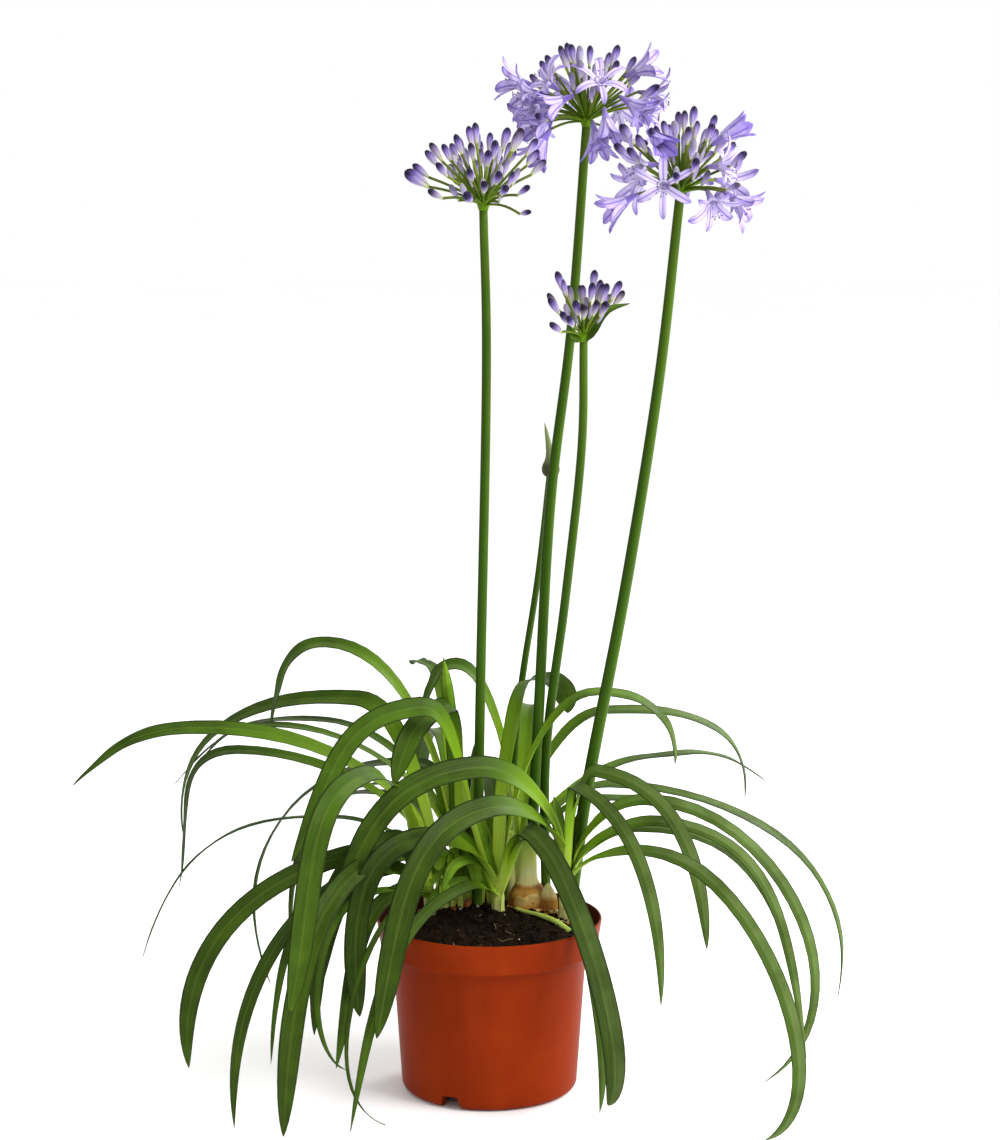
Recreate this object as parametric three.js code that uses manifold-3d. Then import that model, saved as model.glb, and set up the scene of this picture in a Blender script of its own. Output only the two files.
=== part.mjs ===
// An agapanthus in a plastic growers' pot: soil, six leafy shoots, an old papery bulb, and five flower
// stalks that carry four umbels and one closed bud.
// Lengths are millimetres and angles degrees. +Z is up, and the origin is the centre of the pot's underside.
// A direction's azimuth is 0 along +X and 90 along +Y.
import * as THREE from 'three';
import { mergeVertices } from 'three/addons/utils/BufferGeometryUtils.js';
import Module from 'manifold-3d';

const wasm = await Module();
wasm.setup();

// ---------------------------------------------------------------- driving dimensions

const GAP = 0.3; // between pieces that touch

const POT = {
  height: 132,
  rimRadius: 85, // outer, at the top
  bandHeight: 23, // the collar below the rim
  bandFootRadius: 82,
  shoulderRadius: 73.5, // top of the tapered body
  baseRadius: 66,
  baseRound: 6.5, // the soft edge round the underside
  stepHeight: 4, // the inset step under the collar
  bevel: 1.5, // on the collar's two edges
  wall: 1.7,
  footInnerRadius: 57, // inner edge of the ring that it stands on
  floorHeight: 10, // underside of the drain channel inside that ring
  dishRadius: 34, // the middle of the floor dips down to stand on the ground too
  dishSlope: 3,
  sides: 28,
};
const NOTCH = { count: 3, firstAzimuth: 244, width: 15, topWidth: 9, height: 8.5, depth: 12 };

const SOIL = { edgeHeight: 118, middleHeight: 128, slope: 2.2, roughness: 1.6, rings: [66, 50, 34, 17] };
const FOOT_DEPTH = 112; // height at which shoots and stalks end in the soil
const SOCKET_TOP = 136;

const SHEATH = { radius: 9, height: 40, shoulder: 9, shoulderShare: 0.8, sides: 8 };
// A blade's channel is how far its edges stand above its keel, as a share of half its width.
const LEAF = { thickness: 1.5, channel: 0.24, riseSteps: 4, fallSteps: 5, uprightSteps: 5 };

const BULB = { at: [29, 44], radius: 14.2, height: 56, neckRadius: 8.8, sides: 10 };
const OFFSET_BULB = { at: [45, 37], radius: 7.5, height: 20 };

const STALK = { sides: 8, steps: 7 };
const RECEPTACLE = { radius: 6.6, height: 6, sides: 8 };
const BUD = { length: 17, radius: 3.2, sides: 4, pedicel: [0.8, 1.2] };
// A floret's tepals leave the throat at the first angle of spread, and open widens the two bends of each.
const FLORET = {
  tube: 13, throat: 4.4, well: 0.6, tepal: 21, width: 5.6, thickness: 1, bends: [0.58, 0.42],
  spread: [26, 44, 84],
};

// Each leaf rises from its shoot's foot to a crest and falls to its tip. Crest and tip are [out, up] from
// the foot at soil level. lean pulls the rising part outward, hang is the slope at the tip (90 hangs straight
// down), and fall is how far it runs on past its crest, as a share of the way from there to the tip. bend
// swings the tip sideways, and roll tips the blade over. A leaf with no crest stands upright.
const SHOOTS = {
  shoot_front: {
    foot: [7, 29],
    leaves: [
      { az: 222, crest: [82, 70], tip: [138, -55], lean: 0.1, hang: 98, width: 20, roll: -60 },
      { az: 236, crest: [45, 32], tip: [191, -121], lean: 0.3, hang: 73, width: 14, roll: -40 },
      { az: 299, crest: [47, 72], tip: [164, -106], lean: 0.5, hang: 135, fall: 0.27, width: 23, roll: 15 },
      { az: 304, crest: [46, 66], tip: [133, -123], lean: 0.5, hang: 104, fall: 0.3, width: 13, roll: 10 },
      { az: 200, crest: [62, 163], tip: [164, 53], lean: 0.6, hang: 60, width: 20, roll: -60 },
      { az: 1, crest: [75, 170], tip: [134, 114], lean: 0.1, hang: 92, width: 17, roll: 25 },
      { az: 50, crest: [38, 174], tip: [84, 141], lean: 0.15, hang: 80, width: 20, roll: 25 },
    ],
  },
  shoot_right: {
    foot: [57, 22],
    leaves: [
      { az: 203, crest: [72, 120], tip: [183, 22], lean: -0.1, hang: 72, width: 19, roll: -60 },
      { az: 225, crest: [82, 96], tip: [195, -55], lean: -0.2, hang: 74, width: 22, roll: -55 },
      { az: 340, crest: [75, 78], tip: [191, -94], lean: 0.05, hang: 81, width: 17, roll: 32 },
      { az: 311, crest: [113, 67], tip: [214, -124], lean: 0, hang: 150, width: 15, roll: 30 },
      { az: 2, crest: [56, 67], tip: [186, -108], lean: 0, hang: 82, width: 15, roll: 30 },
      { az: 347, crest: [64, 92], tip: [156, -122], lean: 0.05, hang: 142, width: 18, roll: 30 },
      { az: 323, crest: [30, 115], tip: [130, -6], lean: 0.1, hang: 86, width: 19, roll: 45 },
      { az: 296, crest: [18, 103], tip: [153, -31], lean: 0.8, hang: 92, width: 14, roll: 10 },
      { az: 335, tip: [15, 84], width: 9, roll: -60 },
      { az: 120, tip: [16, 88], width: 11 },
    ],
  },
  shoot_left: {
    foot: [-34, 44],
    leaves: [
      { az: 189, crest: [190, 146], tip: [282, 105], lean: 0.02, hang: 42, width: 19, roll: -60 },
      { az: 177, crest: [159, 120], tip: [206, 12], lean: 0.05, hang: 77, width: 16, roll: -30 },
      { az: 159, crest: [73, 157], tip: [223, 32], lean: 0.3, hang: 100, width: 19, roll: -50 },
      { az: 170, crest: [88, 66], tip: [242, -53], lean: 0.05, hang: 73, width: 13, roll: 0 },
      { az: 146, crest: [60, 80], tip: [150, -20], width: 15 },
    ],
  },
  shoot_front_left: {
    foot: [-46, 24],
    leaves: [
      { az: 205, crest: [34, 54], tip: [195, -96], lean: 0.1, hang: 97, width: 17, roll: -65 },
      { az: 226, crest: [28, 50], tip: [199, -121], lean: 0.15, hang: 94, width: 14, roll: -45 },
      { az: 240, crest: [92, 125], tip: [192, -29], lean: 0.25, hang: 65, width: 24, roll: -30 },
      { az: 237, crest: [60, 56], tip: [187, -123], lean: 0.25, hang: 84, width: 17, roll: -15 },
      { az: 216, crest: [36, 40], tip: [103, -50], lean: 0.15, hang: 75, width: 13, roll: -45 },
      { az: 236, crest: [34, 26], tip: [119, -91], lean: 0.15, hang: 70, width: 15, roll: -35 },
      { az: 238, crest: [36, 22], tip: [120, -126], lean: 0.25, hang: 150, width: 9, roll: 0, bend: 40 },
      { az: 222, crest: [34, 64], tip: [113, -73], lean: 0.3, hang: 86, width: 16, roll: -45 },
      { az: 220, crest: [60, 42], tip: [150, -89], lean: 0.15, hang: 85, width: 9, roll: -20 },
      { az: 232, crest: [75, 30], tip: [99, -99], lean: 0.15, hang: 150, width: 9, roll: -20 },
    ],
  },
  shoot_back_left: {
    foot: [-22, 64],
    leaves: [
      { az: 233, crest: [14, 155], tip: [82, 106], lean: 0.5, hang: 66, width: 21, roll: -30 },
      { az: 210, tip: [15, 192], width: 10, roll: -60 },
      { az: 175, crest: [103, 200], tip: [148, 135], lean: 0.1, hang: 75, width: 17, roll: -45 },
      { az: 158, crest: [114, 132], tip: [248, 70], lean: 0.05, hang: 50, width: 13, roll: 0 },
      { az: 177, crest: [148, 136], tip: [203, 106], lean: 0.02, hang: 50, width: 12, roll: 0 },
      { az: 145, crest: [36, 102], tip: [192, -100], lean: 0.45, hang: 118, width: 14, roll: -20 },
      { az: 130, crest: [56, 78], tip: [219, -105], lean: 0.15, hang: 104, width: 13, roll: 0 },
      { az: 132, crest: [37, 179], tip: [57, 177], lean: 0.45, hang: 50, width: 12, roll: 0 },
      { az: 106, crest: [60, 120], tip: [150, 10], width: 17 },
      { az: 78, crest: [60, 90], tip: [140, -40], width: 16 },
    ],
  },
  shoot_back_right: {
    foot: [25, 66],
    radius: 7.5,
    leaves: [
      { az: 178, crest: [51, 184], tip: [79, 152], lean: 0.15, hang: 42, width: 17, roll: -20 },
      { az: 14, crest: [66, 145], tip: [181, 70], lean: -0.1, hang: 94, width: 12, roll: 20 },
      { az: 28, crest: [110, 100], tip: [223, 69], lean: -0.05, hang: 38, width: 12, roll: 0 },
      { az: 349, crest: [70, 93], tip: [246, -65], lean: 0.1, hang: 100, width: 12, roll: 0 },
      { az: 3, crest: [58, 78], tip: [168, 50], lean: 0.1, hang: 35, width: 14, roll: 0 },
      { az: 92, crest: [60, 70], tip: [150, -40], width: 16 },
      { az: 84, crest: [55, 140], tip: [120, 60], width: 15 },
    ],
  },
};

// Flower stalks: the points that each passes through, foot first, and its radius at the foot and the top.
const STALKS = {
  stalk_left: {
    points: [[-10, 52, FOOT_DEPTH], [-7, 34, 290], [-2, 5, 540], [-4, -10, 660.7]],
    radius: [4.2, 3.4],
  },
  stalk_top: {
    points: [[29, 44, FOOT_DEPTH], [37, 44, 270], [46, 44, 440], [61, 45, 570], [72, 45, 719.7]],
    radius: [4.9, 3.8],
  },
  stalk_small: {
    points: [[44, 58, FOOT_DEPTH], [43, 50, 243], [57, 24, 370], [68, -3, 486], [69, -15, 565.7]],
    radius: [3.8, 3],
  },
  stalk_right: {
    points: [[60, 40, FOOT_DEPTH], [74, 25, 224], [101, 2, 381], [124, -16, 540], [137, -35, 670.7]],
    radius: [5.4, 3.8],
  },
  stalk_bud: {
    points: [[10, 73, FOOT_DEPTH], [17, 80, 210], [24, 78, 290], [37, 68, 380], [46, 60, 462]],
    radius: [3, 2.3],
  },
};
const CLOSED_BUD = { at: [46, 60, 462.3], length: 42, radius: 6.6, sides: 8 };

// Umbels: the receptacle's centre, the closed buds set by rule over a cap of directions, and the open
// florets. A floret's base and the point that its mouth looks towards are measured from the receptacle,
// and open is 0 for a bell and 1 for a flat star.
const UMBELS = {
  umbel_left: {
    at: [-4, -10, 667],
    buds: { count: 31, cap: 72, reach: 38, lift: 0.25, seed: 11 },
    florets: [],
    extras: [
      { base: [-26, -12, 24], tip: [-54, -14, 26], radius: 4.6 },
      { base: [-24, -8, 4], tip: [-39, -10, 13], radius: 3 },
      { base: [22, -10, 6], tip: [34, -12, 15], radius: 3 },
      { base: [18, -6, -3], tip: [33, -8, -5], radius: 2.8 },
      { base: [17, -14, 32], tip: [28, -22, 54], radius: 4 },
    ],
    bracts: [],
  },
  umbel_top: {
    at: [72, 45, 726],
    buds: { count: 19, cap: 46, reach: 40, lift: 0.2, seed: 23 },
    florets: [
      { base: [8, -26, 22], to: [11, -46, 38], open: 1 },
      { base: [-20, -12, 22], to: [-36, -20, 33], open: 0.9 },
      { base: [-38, 4, 26], to: [-60, 4, 30], open: 0.3 },
      { base: [-24, -16, 16], to: [-44, -20, 11], open: 0.7 },
      { base: [-28, -14, -8], to: [-40, -20, -26], open: 0.15 },
      { base: [12, -26, 10], to: [16, -36, -14], open: 0.2 },
      { base: [4, -18, 0], to: [8, -26, -20], open: 0.15 },
      { base: [24, -14, 18], to: [40, -22, 8], open: 0.5 },
      { base: [38, 4, 21], to: [58, 4, 18], open: 0.7 },
      { base: [26, 4, 34], to: [42, 6, 48], open: 0.6 },
      { base: [-6, 30, 20], to: [-10, 52, 26], open: 0.8 },
      { base: [20, 28, 12], to: [32, 46, 4], open: 0.5 },
      { base: [-24, 24, 8], to: [-38, 38, -4], open: 0.5 },
    ],
    extras: [
      { base: [-20, -2, 6], tip: [-38, -6, 5], radius: 3.2 },
      { base: [24, 8, 24], tip: [52, 10, 31], radius: 3.8 },
    ],
    bracts: [],
  },
  umbel_right: {
    at: [137, -35, 677],
    buds: { count: 23, cap: 50, reach: 40, lift: 0.2, seed: 5 },
    florets: [
      { base: [-12, -22, 6], to: [-15, -44, 5], open: 1 },
      { base: [-16, -10, 20], to: [-34, -18, 18], open: 0.6 },
      { base: [-26, -16, -2], to: [-44, -22, -14], open: 0.25 },
      { base: [18, -14, 18], to: [36, -22, 20], open: 0.8 },
      { base: [24, -4, 34], to: [42, -6, 44], open: 0.1 },
      { base: [28, -14, -2], to: [44, -22, -16], open: 0.3 },
      { base: [18, -20, 2], to: [24, -32, -12], open: 0.6 },
      { base: [4, 28, 14], to: [8, 50, 16], open: 0.8 },
      { base: [26, 20, 8], to: [44, 34, 4], open: 0.6 },
      { base: [-20, 22, 10], to: [-34, 36, 2], open: 0.5 },
    ],
    extras: [
      { base: [-22, -12, 32], tip: [-40, -18, 48], radius: 3.8 },
      { base: [-26, -12, 24], tip: [-44, -16, 36], radius: 3.4 },
    ],
    bracts: [],
  },
  umbel_small: {
    at: [69, -15, 572],
    buds: { count: 17, cap: 52, reach: 25, lift: 0.3, seed: 8 },
    florets: [],
    extras: [
      { base: [-16, -4, 6], tip: [-26, -5, 13], radius: 2.6 },
      { base: [-16, -6, 16], tip: [-27, -8, 30], radius: 3 },
      { base: [20, -2, 24], tip: [28, -3, 41], radius: 3 },
    ],
    bracts: [
      { points: [[2, -1, -2], [12, -4, 6], [20, -6, 18], [33, -8, 24]], width: 13 },
      { points: [[-2, -1, -2], [-9, -4, 0], [-12, -6, 7]], width: 9 },
    ],
  },
};

// ---------------------------------------------------------------- solids

const radians = THREE.MathUtils.degToRad;

function toSolid(geometry) {
  geometry.deleteAttribute('normal');
  geometry.deleteAttribute('uv');
  const merged = mergeVertices(geometry, 1e-4);
  return new wasm.Manifold(new wasm.Mesh({
    numProp: 3,
    vertProperties: new Float32Array(merged.getAttribute('position').array),
    triVerts: new Uint32Array(merged.index.array),
  }));
}

function toGeometry(solid) {
  const mesh = solid.getMesh();
  const geometry = new THREE.BufferGeometry();
  geometry.setAttribute('position', new THREE.BufferAttribute(mesh.vertProperties, 3));
  geometry.setIndex(new THREE.BufferAttribute(mesh.triVerts, 1));
  geometry.computeVertexNormals();
  return geometry;
}

function joined(solids) {
  return solids.reduce((whole, solid) => whole.add(solid));
}

// Collects points and triangles, and closes strips of rings.
class Skin {
  constructor() {
    this.positions = [];
    this.triangles = [];
  }

  point(p) {
    this.positions.push(p.x, p.y, p.z);
    return this.positions.length / 3 - 1;
  }

  ring(points) {
    return points.map((p) => this.point(p));
  }

  face(a, b, c) {
    this.triangles.push(a, b, c);
  }

  quad(a, b, c, d) {
    this.face(a, b, c);
    this.face(a, c, d);
  }

  // Joins two rings. The second half's diagonals mirror the first half's, so both faces of a blade match.
  band(lower, upper) {
    const n = lower.length;
    for (let j = 0; j < n; j += 1) {
      const k = (j + 1) % n;
      if (j < n / 2) {
        this.quad(lower[j], lower[k], upper[k], upper[j]);
      } else {
        this.quad(lower[k], upper[k], upper[j], lower[j]);
      }
    }
  }

  cone(ring, apex) {
    ring.forEach((a, j) => this.face(a, ring[(j + 1) % ring.length], apex));
  }

  // A flat end, as a fan from its second point.
  cap(ring, facesUp) {
    const n = ring.length;
    for (let j = 2; j < n; j += 1) {
      const [a, b, c] = [ring[1], ring[j % n], ring[(j + 1) % n]];
      if (facesUp) this.face(a, b, c);
      else this.face(a, c, b);
    }
  }

  geometry() {
    const geometry = new THREE.BufferGeometry();
    geometry.setAttribute('position', new THREE.Float32BufferAttribute(this.positions, 3));
    geometry.setIndex(this.triangles);
    return geometry;
  }

  solid() {
    return toSolid(this.geometry());
  }
}

const vector = ([x, y, z]) => new THREE.Vector3(x, y, z);

function heading(azimuth) {
  return new THREE.Vector3(Math.cos(radians(azimuth)), Math.sin(radians(azimuth)), 0);
}

function direction(azimuth, polar) {
  const flat = heading(azimuth).multiplyScalar(Math.sin(radians(polar)));
  return flat.setZ(Math.cos(radians(polar)));
}

function tangents(path) {
  return path.map((p, i) => {
    const before = path[Math.max(i - 1, 0)];
    const after = path[Math.min(i + 1, path.length - 1)];
    return after.clone().sub(before).normalize();
  });
}

// A ring of points round a path's point, square to the path, with its corners counted from the side vector.
function roundRing(centre, tangent, side, radius, sides) {
  const across = side.clone().addScaledVector(tangent, -side.dot(tangent)).normalize();
  const up = tangent.clone().cross(across);
  return Array.from({ length: sides }, (_, j) => {
    const turn = (2 * Math.PI * j) / sides;
    return centre.clone()
      .addScaledVector(across, radius * Math.cos(turn))
      .addScaledVector(up, radius * Math.sin(turn));
  });
}

// A round bar along a path with a radius at each point. A last radius of 0 ends it in a point.
function bar(path, radii, sides, side = new THREE.Vector3(1, 0, 0), level = false) {
  const skin = new Skin();
  const along = level ? path.map(() => new THREE.Vector3(0, 0, 1)) : tangents(path);
  const pointed = radii[path.length - 1] === 0;
  const count = pointed ? path.length - 1 : path.length;
  const rings = [];
  for (let i = 0; i < count; i += 1) {
    rings.push(skin.ring(roundRing(path[i], along[i], side, radii[i], sides)));
    if (i > 0) skin.band(rings[i - 1], rings[i]);
  }
  skin.cap(rings[0], false);
  if (pointed) skin.cone(rings[count - 1], skin.point(path[path.length - 1]));
  else skin.cap(rings[count - 1], true);
  return skin.solid();
}

// A turned solid on a vertical axis at [x, y]: rows of [height, radius].
function turned([x, y], rows, sides) {
  const path = rows.map(([z]) => new THREE.Vector3(x, y, z));
  return bar(path, rows.map(([, radius]) => radius), sides, new THREE.Vector3(1, 0, 0), true);
}

// ---------------------------------------------------------------- pot and soil

function revolved(profile, sides) {
  const outline = profile.map(([radius, height]) => new THREE.Vector2(radius, height));
  return new THREE.LatheGeometry(outline, sides).rotateX(Math.PI / 2);
}

function bodyRadius(height) {
  const top = POT.height - POT.bandHeight;
  return POT.baseRadius + ((POT.shoulderRadius - POT.baseRadius) * height) / top;
}

function pot() {
  const {
    height, rimRadius, bandHeight, bandFootRadius, stepHeight, bevel, wall, footInnerRadius, floorHeight,
    baseRound, dishRadius, dishSlope,
  } = POT;
  const ledge = height - bandHeight;
  const round = [90, 60, 30, 0].map((angle) => [
    bodyRadius(baseRound) - baseRound * (1 - Math.cos(radians(angle))),
    baseRound * (1 - Math.sin(radians(angle))),
  ]);
  const profile = [
    [0, 0], [dishRadius, 0], [dishRadius + dishSlope, floorHeight],
    [footInnerRadius, floorHeight], [footInnerRadius, 0],
    ...round,
    [bodyRadius(ledge - stepHeight), ledge - stepHeight], [bodyRadius(ledge) + 1, ledge - bevel],
    [bandFootRadius - 1, ledge], [bandFootRadius, ledge + bevel], [rimRadius, height - bevel],
    [rimRadius - 0.4, height],
    [rimRadius - wall, height],
    [bandFootRadius - wall, ledge + 2.2], [bodyRadius(ledge) - wall, ledge - 1],
    [bodyRadius(floorHeight) - wall, floorHeight + wall + 2],
    [bodyRadius(floorHeight) - wall - 2, floorHeight + wall],
    [dishRadius + dishSlope - wall, floorHeight + wall], [dishRadius - wall, wall], [0, wall],
  ];
  let solid = toSolid(revolved(profile, POT.sides));
  for (let i = 0; i < NOTCH.count; i += 1) {
    solid = solid.subtract(notch(NOTCH.firstAzimuth + (360 / NOTCH.count) * i));
  }
  return solid;
}

// A drain notch: a tapered block through the ring that the pot stands on.
function notch(azimuth) {
  const outline = new THREE.Shape([
    new THREE.Vector2(-NOTCH.width / 2, -1), new THREE.Vector2(NOTCH.width / 2, -1),
    new THREE.Vector2(NOTCH.topWidth / 2, NOTCH.height), new THREE.Vector2(-NOTCH.topWidth / 2, NOTCH.height),
  ]);
  const block = new THREE.ExtrudeGeometry(outline, { depth: NOTCH.depth + 8, bevelEnabled: false });
  block.rotateX(Math.PI / 2).rotateZ(Math.PI / 2).translate(POT.baseRadius - NOTCH.depth, 0, 0);
  return toSolid(block.rotateZ(radians(azimuth)));
}

// Crumbly ground: a smooth sum of waves, up and down by about one.
function crumble(x, y) {
  const waves = [[0.31, 0.12, 0], [-0.17, 0.37, 1.3], [0.71, 0.55, 0]];
  return waves.reduce((sum, [a, b, phase]) => sum + Math.sin(a * x + b * y + phase) / 2, 0);
}

function soilHeight(radius) {
  const rise = Math.max(0, 1 - radius / POT.bandFootRadius);
  return SOIL.edgeHeight + (SOIL.middleHeight - SOIL.edgeHeight) * Math.min(1, rise * SOIL.slope);
}

function soil() {
  const ledge = POT.height - POT.bandHeight;
  const inside = (height) => bodyRadius(height) - POT.wall - GAP;
  const floor = POT.floorHeight + POT.wall + GAP;
  const bandRadius = POT.bandFootRadius - POT.wall - GAP;
  const profile = [
    [0, POT.wall + GAP], [POT.dishRadius - POT.wall - GAP, POT.wall + GAP],
    [POT.dishRadius + POT.dishSlope - POT.wall - GAP, floor],
    [inside(floor) - 2.1, floor], [inside(floor + 2.1), floor + 2.1],
    [inside(ledge - 0.7), ledge - 0.7], [bandRadius, ledge + 2.5], [bandRadius + 0.9, SOIL.edgeHeight],
    ...SOIL.rings.map((radius) => [radius, soilHeight(radius)]),
    [0, soilHeight(0)],
  ];
  const ground = revolved(profile, POT.sides);
  const position = ground.getAttribute('position');
  for (let i = 0; i < position.count; i += 1) {
    const [x, y, z] = [position.getX(i), position.getY(i), position.getZ(i)];
    const loose = z > SOIL.edgeHeight + 0.1 ? SOIL.roughness : 0;
    position.setZ(i, z + loose * crumble(x, y));
  }
  return sockets().reduce((solid, socket) => solid.subtract(socket), toSolid(ground));
}

// The plain holes in which shoots, bulbs and stalks stand.
function sockets() {
  const hole = ([x, y], radius, sides) => turned([x, y], [
    [FOOT_DEPTH - GAP, radius + GAP], [SOCKET_TOP, radius + GAP]], sides);
  const inSoil = Object.entries(STALKS).filter(([name]) => name !== 'stalk_top');
  return [
    ...Object.values(SHOOTS).map(({ foot, radius }) => hole(foot, radius ?? SHEATH.radius, SHEATH.sides)),
    ...inSoil.map(([, shape]) => stalkRoom(shape)),
    hole(BULB.at, BULB.radius, BULB.sides),
    hole(OFFSET_BULB.at, OFFSET_BULB.radius, BULB.sides),
  ];
}

// ---------------------------------------------------------------- leaves

function bezier(a, b, c, d, steps) {
  const curve = new THREE.CubicBezierCurve(...[a, b, c, d].map(([out, up]) => new THREE.Vector2(out, up)));
  return curve.getPoints(steps);
}

// Inside the sheath, where the leaf starts: the taller leaves come from nearer its middle, and higher up.
function leafRoot(height) {
  return [Math.max(0.5, 7.5 - 0.04 * height), 6 + 0.15 * height];
}

// The leaf's middle line as [out, up] points, before it is turned to its azimuth.
function leafProfile({ crest, tip, lean = 0.12, hang = 80, fall: share = 0.45 }) {
  if (!crest) {
    const root = leafRoot(tip[1]);
    return bezier(root, [root[0], 0.4 * tip[1]], [0.5 * tip[0], 0.75 * tip[1]], tip, LEAF.uprightSteps);
  }
  const [out, up] = crest;
  const rise = bezier(leafRoot(up), [lean * out, 0.6 * up], [0.5 * out, up], crest, LEAF.riseSteps);
  const reach = share * Math.hypot(tip[0] - out, tip[1] - up);
  const above = [tip[0] - reach * Math.cos(radians(hang)), tip[1] + reach * Math.sin(radians(hang))];
  const fall = bezier(crest, [out + reach, up], above, tip, LEAF.fallSteps);
  return [...rise, ...fall.slice(1)];
}

// Narrow in the sheath, full width from a third of the way up, and blunt at the tip.
function leafWidth(s) {
  const root = 0.35 + 0.65 * Math.min(1, s / 0.35);
  const taper = Math.max(0, (s - 0.5) / 0.5);
  return root * (1 - 0.9 * taper ** 3);
}

// A blade along a path: a shallow channel above and a keel below, ending in a point.
function blade(path, side, widths, thickness, rolls) {
  const skin = new Skin();
  const along = tangents(path);
  const last = path.length - 1;
  let lower = null;
  for (let i = 0; i < last; i += 1) {
    const turn = radians(rolls[i]);
    const flat = side.clone().addScaledVector(along[i], -side.dot(along[i])).normalize();
    const face = along[i].clone().cross(flat).negate();
    const across = flat.clone().multiplyScalar(Math.cos(turn)).addScaledVector(face, Math.sin(turn));
    const normal = face.clone().multiplyScalar(Math.cos(turn)).addScaledVector(flat, -Math.sin(turn));
    const half = widths[i] / 2;
    const edge = normal.clone().multiplyScalar(LEAF.channel * half);
    const ring = skin.ring([
      path[i].clone().addScaledVector(across, -half).add(edge),
      path[i].clone().addScaledVector(normal, thickness / 2),
      path[i].clone().addScaledVector(across, half).add(edge),
      path[i].clone().addScaledVector(normal, -thickness / 2),
    ]);
    if (lower) skin.band(lower, ring);
    else skin.cap(ring, false);
    lower = ring;
  }
  skin.cone(lower, skin.point(path[last]));
  return skin.solid();
}

function leaf(shape, [x, y]) {
  const out = heading(shape.az);
  const side = heading(shape.az + 90);
  const profile = leafProfile(shape);
  const steps = profile.length - 1;
  const bend = shape.bend ?? 0;
  const path = profile.map((p, i) => new THREE.Vector3(x, y, SOIL.middleHeight + p.y)
    .addScaledVector(out, p.x)
    .addScaledVector(side, bend * (i / steps) ** 2));
  const widths = profile.map((_, i) => shape.width * leafWidth(i / steps));
  const rolls = profile.map((_, i) => (shape.roll ?? 0) * Math.min(1, (2.5 * i) / steps));
  return blade(path, side, widths, LEAF.thickness, rolls);
}

function shoot({ foot, radius = SHEATH.radius, leaves }) {
  const top = SOIL.middleHeight + SHEATH.height;
  const sheath = turned(foot, [
    [FOOT_DEPTH, radius], [SOIL.middleHeight + 2, radius],
    [top - SHEATH.shoulder, SHEATH.shoulderShare * radius], [top, 0],
  ], SHEATH.sides);
  return joined([sheath, ...leaves.map((shape) => leaf(shape, foot))]);
}

// ---------------------------------------------------------------- bulbs and stalks

function stalkPath({ points }, steps) {
  return new THREE.CatmullRomCurve3(points.map(vector), false, 'centripetal').getPoints(steps);
}

function stalk(shape, extra = 0) {
  const path = stalkPath(shape, STALK.steps);
  const [foot, top] = shape.radius;
  const radii = path.map((_, i) => foot + ((top - foot) * i) / STALK.steps + extra);
  return bar(path, radii, STALK.sides, new THREE.Vector3(1, 0, 0), true);
}

// The stalk with room all round it and under its foot.
function stalkRoom(shape) {
  const wide = stalk(shape, GAP);
  return wide.add(wide.translate([0, 0, -GAP]));
}

function paperyBulb() {
  const { radius, neckRadius, height } = BULB;
  const ground = SOIL.middleHeight;
  const main = turned(BULB.at, [
    [FOOT_DEPTH, radius], [ground + 6, radius], [ground + 18, 0.92 * radius], [ground + 28, 1.1 * neckRadius],
    [ground + 44, neckRadius], [ground + height, 0.86 * neckRadius],
  ], BULB.sides);
  const offset = turned(OFFSET_BULB.at, [
    [FOOT_DEPTH, OFFSET_BULB.radius], [ground + 6, OFFSET_BULB.radius],
    [ground + 14, 0.7 * OFFSET_BULB.radius], [ground + OFFSET_BULB.height, 0],
  ], BULB.sides);
  return main.add(offset).subtract(stalkRoom(STALKS.stalk_top));
}

function closedBud() {
  const { at: [x, y, z], length, radius, sides } = CLOSED_BUD;
  const rows = [[0, 0.4], [0.1, 0.75], [0.22, 1], [0.36, 0.85], [0.5, 0.45], [0.75, 0.22], [1, 0]];
  const path = rows.map(([s]) => new THREE.Vector3(x - 6 * s * s, y, z + length * s));
  return bar(path, rows.map(([, r]) => r * radius), sides, new THREE.Vector3(1, 0, 0), true);
}

// ---------------------------------------------------------------- umbels

// A repeatable stream of numbers from 0 to 1.
function seeded(seed) {
  let state = seed;
  return () => {
    state = (Math.imul(state, 1664525) + 1013904223) >>> 0;
    return state / 4294967296;
  };
}

function receptacle(at) {
  const { radius, height, sides } = RECEPTACLE;
  return turned([at.x, at.y], [
    [at.z - height, 0.6 * radius], [at.z - 0.2 * height, radius], [at.z + 0.5 * height, 0.85 * radius],
    [at.z + height, 0],
  ], sides);
}

// A closed bud on its pedicel, all in one bar.
function bud(at, base, tip, radius) {
  const start = at.clone().addScaledVector(base.clone().normalize(), 3);
  const foot = at.clone().add(base);
  const end = at.clone().add(tip);
  const point = (s) => foot.clone().lerp(end, s);
  const path = [start, foot, point(0.35), point(0.78), end];
  return bar(path, [...BUD.pedicel, radius, 0.86 * radius, 0], BUD.sides, sideOf(base, tip));
}

function sideOf(base, tip) {
  const side = base.clone().cross(tip.clone().sub(base));
  return side.length() > 1 ? side.normalize() : heading(0).cross(base).normalize();
}

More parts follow.
